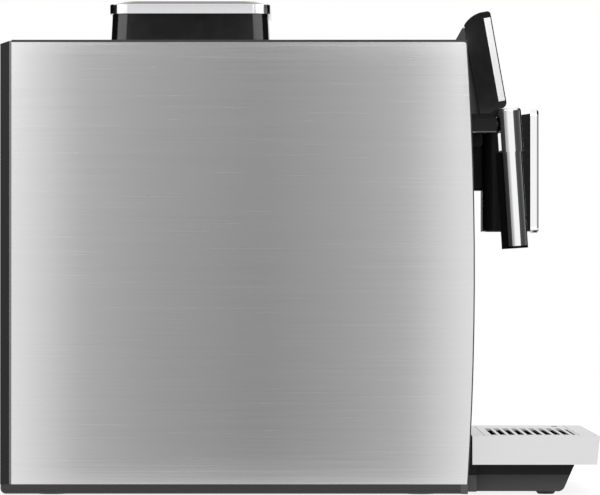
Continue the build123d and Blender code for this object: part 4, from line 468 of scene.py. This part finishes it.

# %% [markdown]
# Four mouldings carry two finishes each, with a sharp line between them. The display's frame is black
# with a silver lacquered strip down each side. The front base is grey along its lower edge, and above it
# is painted deep black for the shade that the tray casts on it. The rear cover has a lighter strip beside
# the steel, and the wand's arm a bright lower edge. Each could be cut in two, but on the real machine it is
# one piece, so a pair of planes splits its finish: the distance of a point along a direction is their dot
# product, and a comparison turns it into a mask.

# %% Two finishes on one moulding


def split(name, first, second, towards, low, high, **extra):
    """Show (colour, metallic, roughness) second between two distances along a direction, else first."""
    tree, shader = finish(name, *first, **extra)
    grained(tree, shader, grain_mm=0.6, depth_mm=0.01, strength=0.2)
    place = add_node(tree, "ShaderNodeTexCoord")
    along = add_node(tree, "ShaderNodeVectorMath", [(0, place.outputs["Object"]), (1, towards)],
                     operation="DOT_PRODUCT")
    middle, half = (low + high) / 2, (high - low) / 2
    within = add_node(tree, "ShaderNodeMath", [(0, along.outputs["Value"]), (1, middle), (2, half)],
                      operation="COMPARE")
    mask = within.outputs[0]
    tone = add_node(tree, "ShaderNodeMix", [
        ("Factor", mask), (MIX_A, linear(first[0])), (MIX_B, linear(second[0]))], data_type="RGBA")
    tree.links.new(tone.outputs[MIX_RESULT], shader.inputs["Base Color"])
    for socket, one, other in (("Metallic", first[1], second[1]), ("Roughness", first[2], second[2])):
        if one != other:
            share = add_node(tree, "ShaderNodeMapRange",
                             [("Value", mask), ("To Min", one), ("To Max", other)])
            tree.links.new(share.outputs["Result"], shader.inputs[socket])


print("a moulding can now be split between two distances along any direction")

# %% [markdown]
# The places at which the finishes change are sizes of the machine. The ends of the lacquered strip are
# measured along the slope of the head's face, and the others straight up or straight back.

# %% The four mouldings with two finishes
# ABS of the display's frame, with silver lacquer on its sides: a pale strip that ends short of each corner.
# The face leans back by face_tilt, and face_middle is the middle of its front in a side view.
face_tilt = np.radians(10.2)
face_middle = np.array((0.0, -152.45, 334.6)) * MM
face_up = np.array((0.0, np.sin(face_tilt), np.cos(face_tilt)))
face_reach = float(face_middle @ face_up)
silver_below, silver_above = 33.2 * MM, 31.8 * MM
split("lacquered_abs", ("#0A0A0A", 0.0, 0.10), ("#F6F6F6", 0.35, 0.32), face_up,
      face_reach - silver_below, face_reach + silver_above)

# ABS of the front base: grey along its lower edge, with the tray's shade painted deep black above it.
base_edge_height, base_top = 14.8 * MM, 60 * MM
split("base_abs_painted_tray_shade", ("#666666", 0.0, 0.50), ("#070707", 0.0, 0.45), (0, 0, 1),
      base_edge_height, base_top, Specular_IOR_Level=0.25)

# ABS of the rear cover, which also stands for the steel's rolled edge: a thin light line down dark grey.
strip_front, strip_rear = 219.2 * MM, 221.2 * MM
split("hemmed_abs", ("#1A1A1A", 0.0, 0.50), ("#939393", 0.0, 0.50), (0, 1, 0),
      strip_front, strip_rear, Specular_IOR_Level=0.3)

# Polished ABS of the wand's arm: black, with a grey, half-metallic line along its lower edge.
arm_foot, arm_edge_top = 270 * MM, 277.6 * MM
split("edged_abs", ("#0A0A0A", 0.0, 0.12), ("#8C8C8C", 0.6, 0.25), (0, 0, 1),
      arm_foot, arm_edge_top, Specular_IOR_Level=0.25)
print("middle of the head's face, measured along its slope:", round(face_reach, 4), "metres")

# %% [markdown]
# Each piece gets the finish of its real material. One table from finish to pieces is easier to check
# than a line in every piece's own cell, and what it leaves out can be printed.

# %% Put the finishes on the pieces
dressing = {
    "brushed_stainless": ["left_side_panel", "right_side_panel"],
    "tray_stainless": ["tray_cover", "drip_grid"],
    "chrome_plate": ["spout_plate", "wand_cap", "wand_tube"],
    "satin_chrome": ["hopper_lid_ring"],
    "lacquered_abs": ["display_bezel"],
    # The front base's finish paints the tray's shade on its upper part.
    "base_abs_painted_tray_shade": ["front_base"],
    "edged_abs": ["wand_arm"],
    "hemmed_abs": ["rear_cover"],
    "front_glass": ["display_glass"],
    "screen_panel": ["display_screen"],
    "spout_abs": ["spout_shell", "spout_carriage"],
    # The wand's back gets painted shade: near black, with almost no shine.
    "spine_black_painted_shade": ["wand_spine"],
    "gloss_abs": ["display_housing", "left_upper_key", "left_lower_key", "right_upper_key", "right_lower_key",
                  "power_key"],
    "smoke_abs": ["bean_hopper", "hopper_lid"],
    "grained_abs": ["base_pan", "top_cover", "front_fascia", "grounds_bin"],
    "satin_abs": ["drip_tray", "drawer_front", "powder_lid", "powder_chute", "grind_dial", "tank_lid",
                  "rocker_switch", "mains_inlet", "spout_nozzles", "tank_seat", "grinder_housing"],
    "float_plastic": ["tray_float"],
    "clear_styrene": ["water_tank"],
    "black_rubber": ["feet", "water_hoses"],
    "zinc_plate": ["inner_frame", "cover_screws"],
    "machined_steel": ["upper_burr", "lower_burr", "spout_guide_rods", "brew_screw", "steam_pipe"],
    "die_cast_aluminium": ["coffee_heater", "steam_heater"],
    "motor_lacquer": ["grinder_motor", "brew_motor", "water_pump"],
    "natural_acetal": ["drive_gear", "motor_pinion", "brew_frame", "brew_piston"],
}
for finish_name, names in dressing.items():
    for name in names:
        nodes[name].data.materials.clear()
        nodes[name].data.materials.append(materials[finish_name])
dressed = {name for names in dressing.values() for name in names}
print("dressed", len(dressed), "pieces, without a finish:", sorted(set(nodes) - dressed))

# %% [markdown]
# New pieces are closed skins over a grid of points: numpy works out the points, and the same rule joins
# any grid into four-cornered faces. Curves with a bevel could draw the thin ones, but a grid gives
# each piece exactly the faces that it needs, and no step is left to convert.

# %% Faces over a grid


def skin(rows, columns, closed):
    """Faces of a grid whose columns wrap round: a point, its next in row and column, and the one across.

    A closed grid wraps its rows too, and an open one gets a cap at each end.
    """
    row = np.arange(rows if closed else rows - 1)[:, None]
    column = np.arange(columns)[None, :]
    next_row, next_column = (row + 1) % rows, (column + 1) % columns
    quads = np.stack([row * columns + column, row * columns + next_column,
                      next_row * columns + next_column, next_row * columns + column], -1).reshape(-1, 4)
    caps = [] if closed else [list(range(columns)), list(range((rows - 1) * columns, rows * columns))]
    return quads.tolist() + caps


print("two rings of four points make", len(skin(2, 4, False)), "faces, as a box has")

# %% [markdown]
# A piece is one mesh, even where it has several separate shells, such as the strokes of a picture. It
# rides the body that it is fixed to, so it moves with it, and it takes one of the finishes above.

# %% Put a new piece on its body


def put(name, shells, paint, body):
    """Join closed shells of (points in metres, faces) into one piece that rides a body, faces outwards."""
    starts = np.cumsum([0] + [len(points) for points, _ in shells]).tolist()
    faces = [[start + index for index in face]
             for start, (_, shell_faces) in zip(starts, shells) for face in shell_faces]
    mesh = bpy.data.meshes.new(name)
    mesh.from_pydata(np.concatenate([points for points, _ in shells]).tolist(), [], faces)
    build = bmesh.new()
    build.from_mesh(mesh)
    bmesh.ops.recalc_face_normals(build, faces=build.faces)
    build.to_mesh(mesh)
    build.free()
    mesh.materials.append(materials[paint])
    piece = bpy.data.objects.new(name, mesh)
    scene.collection.objects.link(piece)
    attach(piece, body)
    print(name, "faces", len(mesh.polygons))


# %% [markdown]
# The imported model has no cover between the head's chin and the spout's arm. On the real machine a black
# moulding fills that place. It is a profile carried along X: a deep shape on each side that reaches
# forward to the chin, a shallow one in the middle that leaves room for the spout to slide, and a cheek on
# each side of that. A carried profile suits it because such a moulding is straight across the machine.

# %% Neck cover


def carried(profile, x_from, x_to):
    """A profile of (y, z) millimetres carried straight along X, as (points in metres, faces)."""
    outline = np.array(profile, float)
    stations = np.array((x_from, x_to), float)
    points = np.concatenate([np.column_stack([np.full(len(outline), x), outline]) for x in stations]) * MM
    return points, skin(len(stations), len(outline), False)


neck_rear, neck_top = -126.4, 291.4
step_front = -142.3
neck_half, cheek_half, slide_half = 104, 36, 9.2
deep = [(neck_rear, 286.9), (-146.5, 286.9), (-149.8, 287.6), (-151.8, 289.6), (-152.6, 292.4),
        (-152.6, 295.5), (-150.8, 294.8), (-148.6, 293.3), (-146.3, 291.6), (-145.7, neck_top),
        (neck_rear, neck_top)]
shallow = [(neck_rear, 277.0), (-141.6, 277.0), (step_front, 277.8),
           (step_front, neck_top), (neck_rear, neck_top)]
cheek = [(neck_rear, 268.0), (-140.6, 268.0), (step_front, 270.0),
         (step_front, neck_top), (neck_rear, neck_top)]
put("neck_cover",
    [carried(deep, -neck_half, -cheek_half), carried(cheek, -cheek_half, -slide_half),
     carried(shallow, -slide_half, slide_half),
     carried(cheek, slide_half, cheek_half), carried(deep, cheek_half, neck_half)],
    "spout_abs", "root")

# %% [markdown]
# The printed marks are low beads of ink on flat faces. An image would need a map of each face, and a
# bead also catches the light as thick ink does. Each bead follows a path on its face. At every point the
# path's two neighbouring runs have side directions n1 and n2, and their mitre is
# (n1 + n2) / (1 + n1 . n2). The bead's section is half an ellipse: side = -cos(a) * width / 2 and
# rise = sin(a) * height, for a from 0 to pi.

# %% A bead of ink
section_points = 7
sunk = 0.01


def bead(path, closed, width, height):
    """The bead of one path, in millimetres on its face, as points (across, up, out) and faces."""
    path = np.array(path, float)
    runs = np.roll(path, -1, 0) - path
    runs = runs if closed else np.vstack([runs[:-1], runs[-2]])
    runs /= np.linalg.norm(runs, axis=1)[:, None]
    sides = np.column_stack([-runs[:, 1], runs[:, 0]])
    before = np.roll(sides, 1, 0) if closed else np.vstack([sides[:1], sides[:-1]])
    mitre = (sides + before) / (1 + (sides * before).sum(1))[:, None]
    angle = np.linspace(0, np.pi, section_points)
    flat = path[:, None, :] + mitre[:, None, :] * (-np.cos(angle) * width / 2)[None, :, None]
    rise = np.broadcast_to(np.sin(angle) * height - sunk, flat.shape[:2])
    return np.dstack([flat, rise]).reshape(-1, 3), skin(len(path), section_points, closed)


print("a bead has", section_points, "points across and stands", sunk, "mm deep in its face")

# %% [markdown]
# Beads are drawn flat and then laid on their face: each point is turned from the face's directions to the
# room's, and lifted to where the face is. How far out that is comes from the CAD piece's own points, so
# the ink lies on its surface.

# %% Beads on a face


def reach_of(node, outward):
    """How far a node reaches along a direction, in metres: the largest dot product of its points with it."""
    mesh = nodes[node].data
    points = np.empty(len(mesh.vertices) * 3, np.float32)
    mesh.vertices.foreach_get("co", points)
    return float((points.reshape(-1, 3) @ np.array(outward)).max())


def marks(name, paths, width, height, face, middle, depth, body):
    """Beads of ink on a flat face of a body: (point + middle and depth) times the face's three directions.

    face is its (right, up) directions, middle a point measured along them, and depth the face's own reach.
    """
    right, up = (np.array(way, float) for way in face)
    face_axes = np.array([right, up, np.cross(right, up)])
    offset = np.array((*middle, depth))
    beads = [bead(path, closed, width, height) for path, closed in paths]
    shells = [((points * MM + offset) @ face_axes, faces) for points, faces in beads]
    put(name, shells, "pad_print_ink", body)


print("top of the display's glass", round(reach_of("display_glass", face_up), 4))

# %% [markdown]
# The keys carry plain pictures of what they do: one cup, two cups, steam, hot water and power. Each is
# drawn from a few arcs and lines round its own middle, as a sign painter would, with the strokes all one
# width. Every picture rides its own key, so that it moves when the key is pressed.

# %% Lines to draw with


def arc(x, y, radius, start, stop, count=24):
    """Points on part of a circle: its middle plus radius times the cosine and sine of angles in degrees."""
    angle = np.radians(np.linspace(start, stop, count))
    return np.column_stack([x + radius * np.cos(angle), y + radius * np.sin(angle)])


def cup(x):
    """A cup on a saucer, seen from the side: a bowl, a saucer line and a handle."""
    left_side = [(x - 2.6, 2.2), (x - 2.2, -1.0), (x - 1.4, -1.9)]
    bowl = left_side + [(2 * x - across, up) for across, up in reversed(left_side)]
    saucer = [(x - 3.4, -3.0), (x + 3.4, -3.0)]
    handle = arc(x + 2.4, 0.6, 1.3, -80, 80, 10)
    return [(bowl, True), (saucer, False), (handle, False)]


def steam(x):
    """One wavy line of steam: x plus 0.6 times the sine of the height, with a wave every 6 mm."""
    height = np.linspace(-3, 3, 16)
    return np.column_stack([x + 0.6 * np.sin(height * np.pi / 3), height]), False


def drop():
    """A water drop: 2.2 * sin(a) * sin(a / 2) across and 0.4 + 3.2 * cos(a) up, so its top is a point."""
    angle = np.radians(np.linspace(0, 350, 36))
    return np.column_stack([2.2 * np.sin(angle) * np.sin(angle / 2), 0.4 + 3.2 * np.cos(angle)]), True


def power_sign():
    """A ring with a gap at its top, and a line that stands in the gap."""
    return [(arc(0, 0, 2.5, 120, 420), False), ([(0, 0.6), (0, 3.2)], False)]


print("a cup is drawn with", len(cup(0)), "strokes")

# %% [markdown]
# The pictures stand where the keys are, on the head's tilted face, and a thin line with rounded corners
# borders the display. Places are measured from the middle of the face, to the right and up.

# %% Pictures on the keys and a border round the display
key_x, upper_key_rise, lower_key_rise, power_key_rise = 80, 17, -9, -24
stroke_width, stroke_height = 0.45, 0.05
head_face = ((1, 0, 0), face_up)
face_out = np.cross(*np.array(head_face, float))
pictures = {
    "left_upper": (-key_x, upper_key_rise, cup(0)),
    "left_lower": (-key_x, lower_key_rise, cup(-4.2) + cup(4.2)),
    "right_upper": (key_x, upper_key_rise, [steam(-2), steam(0), steam(2)]),
    "right_lower": (key_x, lower_key_rise, [drop()]),
    "power": (0, power_key_rise, power_sign()),
}
for body, (x, rise, paths) in pictures.items():
    marks(f"{body}_key_picture", paths, stroke_width, stroke_height, head_face,
          (x * MM, face_reach + rise * MM), reach_of(f"{body}_key", face_out), body)

border_x, border_y, border_radius, border_rise = 50.5, 15.5, 2, 6
border_width, border_height, corner_points = 0.35, 0.03, 6
quarters = ((1, 1, 0), (-1, 1, 90), (-1, -1, 180), (1, -1, 270))
border = np.vstack([arc(border_x * across, border_y * up, border_radius, start, start + 90, corner_points)
                    for across, up, start in quarters])
marks("screen_border", [(border, True)], border_width, border_height, head_face,
      (0.0, face_reach + border_rise * MM), reach_of("display_glass", face_out), "root")

# %% [markdown]
# The grind dial has a ring of marks that grow from fine to coarse, on the deck round it. They fan out
# over three quarters of a turn, a little more than the dial turns. Their places come from the dial's own
# box, so they stay round it.

# %% Grind scale
deck_face = ((1, 0, 0), (0, 1, 0))
scale_radius, shortest, longest, tick_width, tick_count = 17.0, 1.2, 4.0, 0.7, 10
dial_low, dial_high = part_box("grind_dial")
dial_middle = ((dial_low.x + dial_high.x) / 2, (dial_low.y + dial_high.y) / 2)
deck_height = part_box("powder_lid")[1].z
turns = np.radians(np.linspace(225, -45, tick_count))
ways = np.column_stack([np.cos(turns), np.sin(turns)])
lengths = np.linspace(shortest, longest, tick_count)[:, None]
ticks = [(pair, False) for pair in np.stack([ways * scale_radius, ways * (scale_radius + lengths)], 1)]
marks("grind_scale", ticks, tick_width, stroke_height, deck_face, dial_middle, deck_height, "root")

# %% [markdown]
# The mains rocker has a line for on and a ring for off, each on its own half. The halves slope apart, so
# each mark's face is worked out from the two ends of its half in a cut through the rocker.

# %% Marks on the rocker
rocker_cut = np.array([(227.70, 17.69), (225.80, 26.35), (225.84, 35.39)]) * MM
rocker_low, rocker_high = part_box("rocker_switch")
rocker_x = (rocker_low.x + rocker_high.x) / 2
mark_reach, mark_width, ring_points = 1.7, 0.6, 20
ring = (arc(0, 0, mark_reach, 0, 360 - 360 / ring_points, ring_points), True)
line = ([(0, -mark_reach), (0, mark_reach)], False)
halves = (("rocker_off_mark", ring, rocker_cut[:2]), ("rocker_on_mark", line, rocker_cut[1:]))
for name, path, (low, high) in halves:
    rise = (high - low) / np.linalg.norm(high - low)
    middle = (low + high) / 2
    half_face = ((-1, 0, 0), (0, *rise))
    outward = np.cross(*np.array(half_face, float))
    marks(name, [path], mark_width, stroke_height, half_face, (-rocker_x, float(middle @ rise)),
          float(middle @ outward[1:]), "rocker")
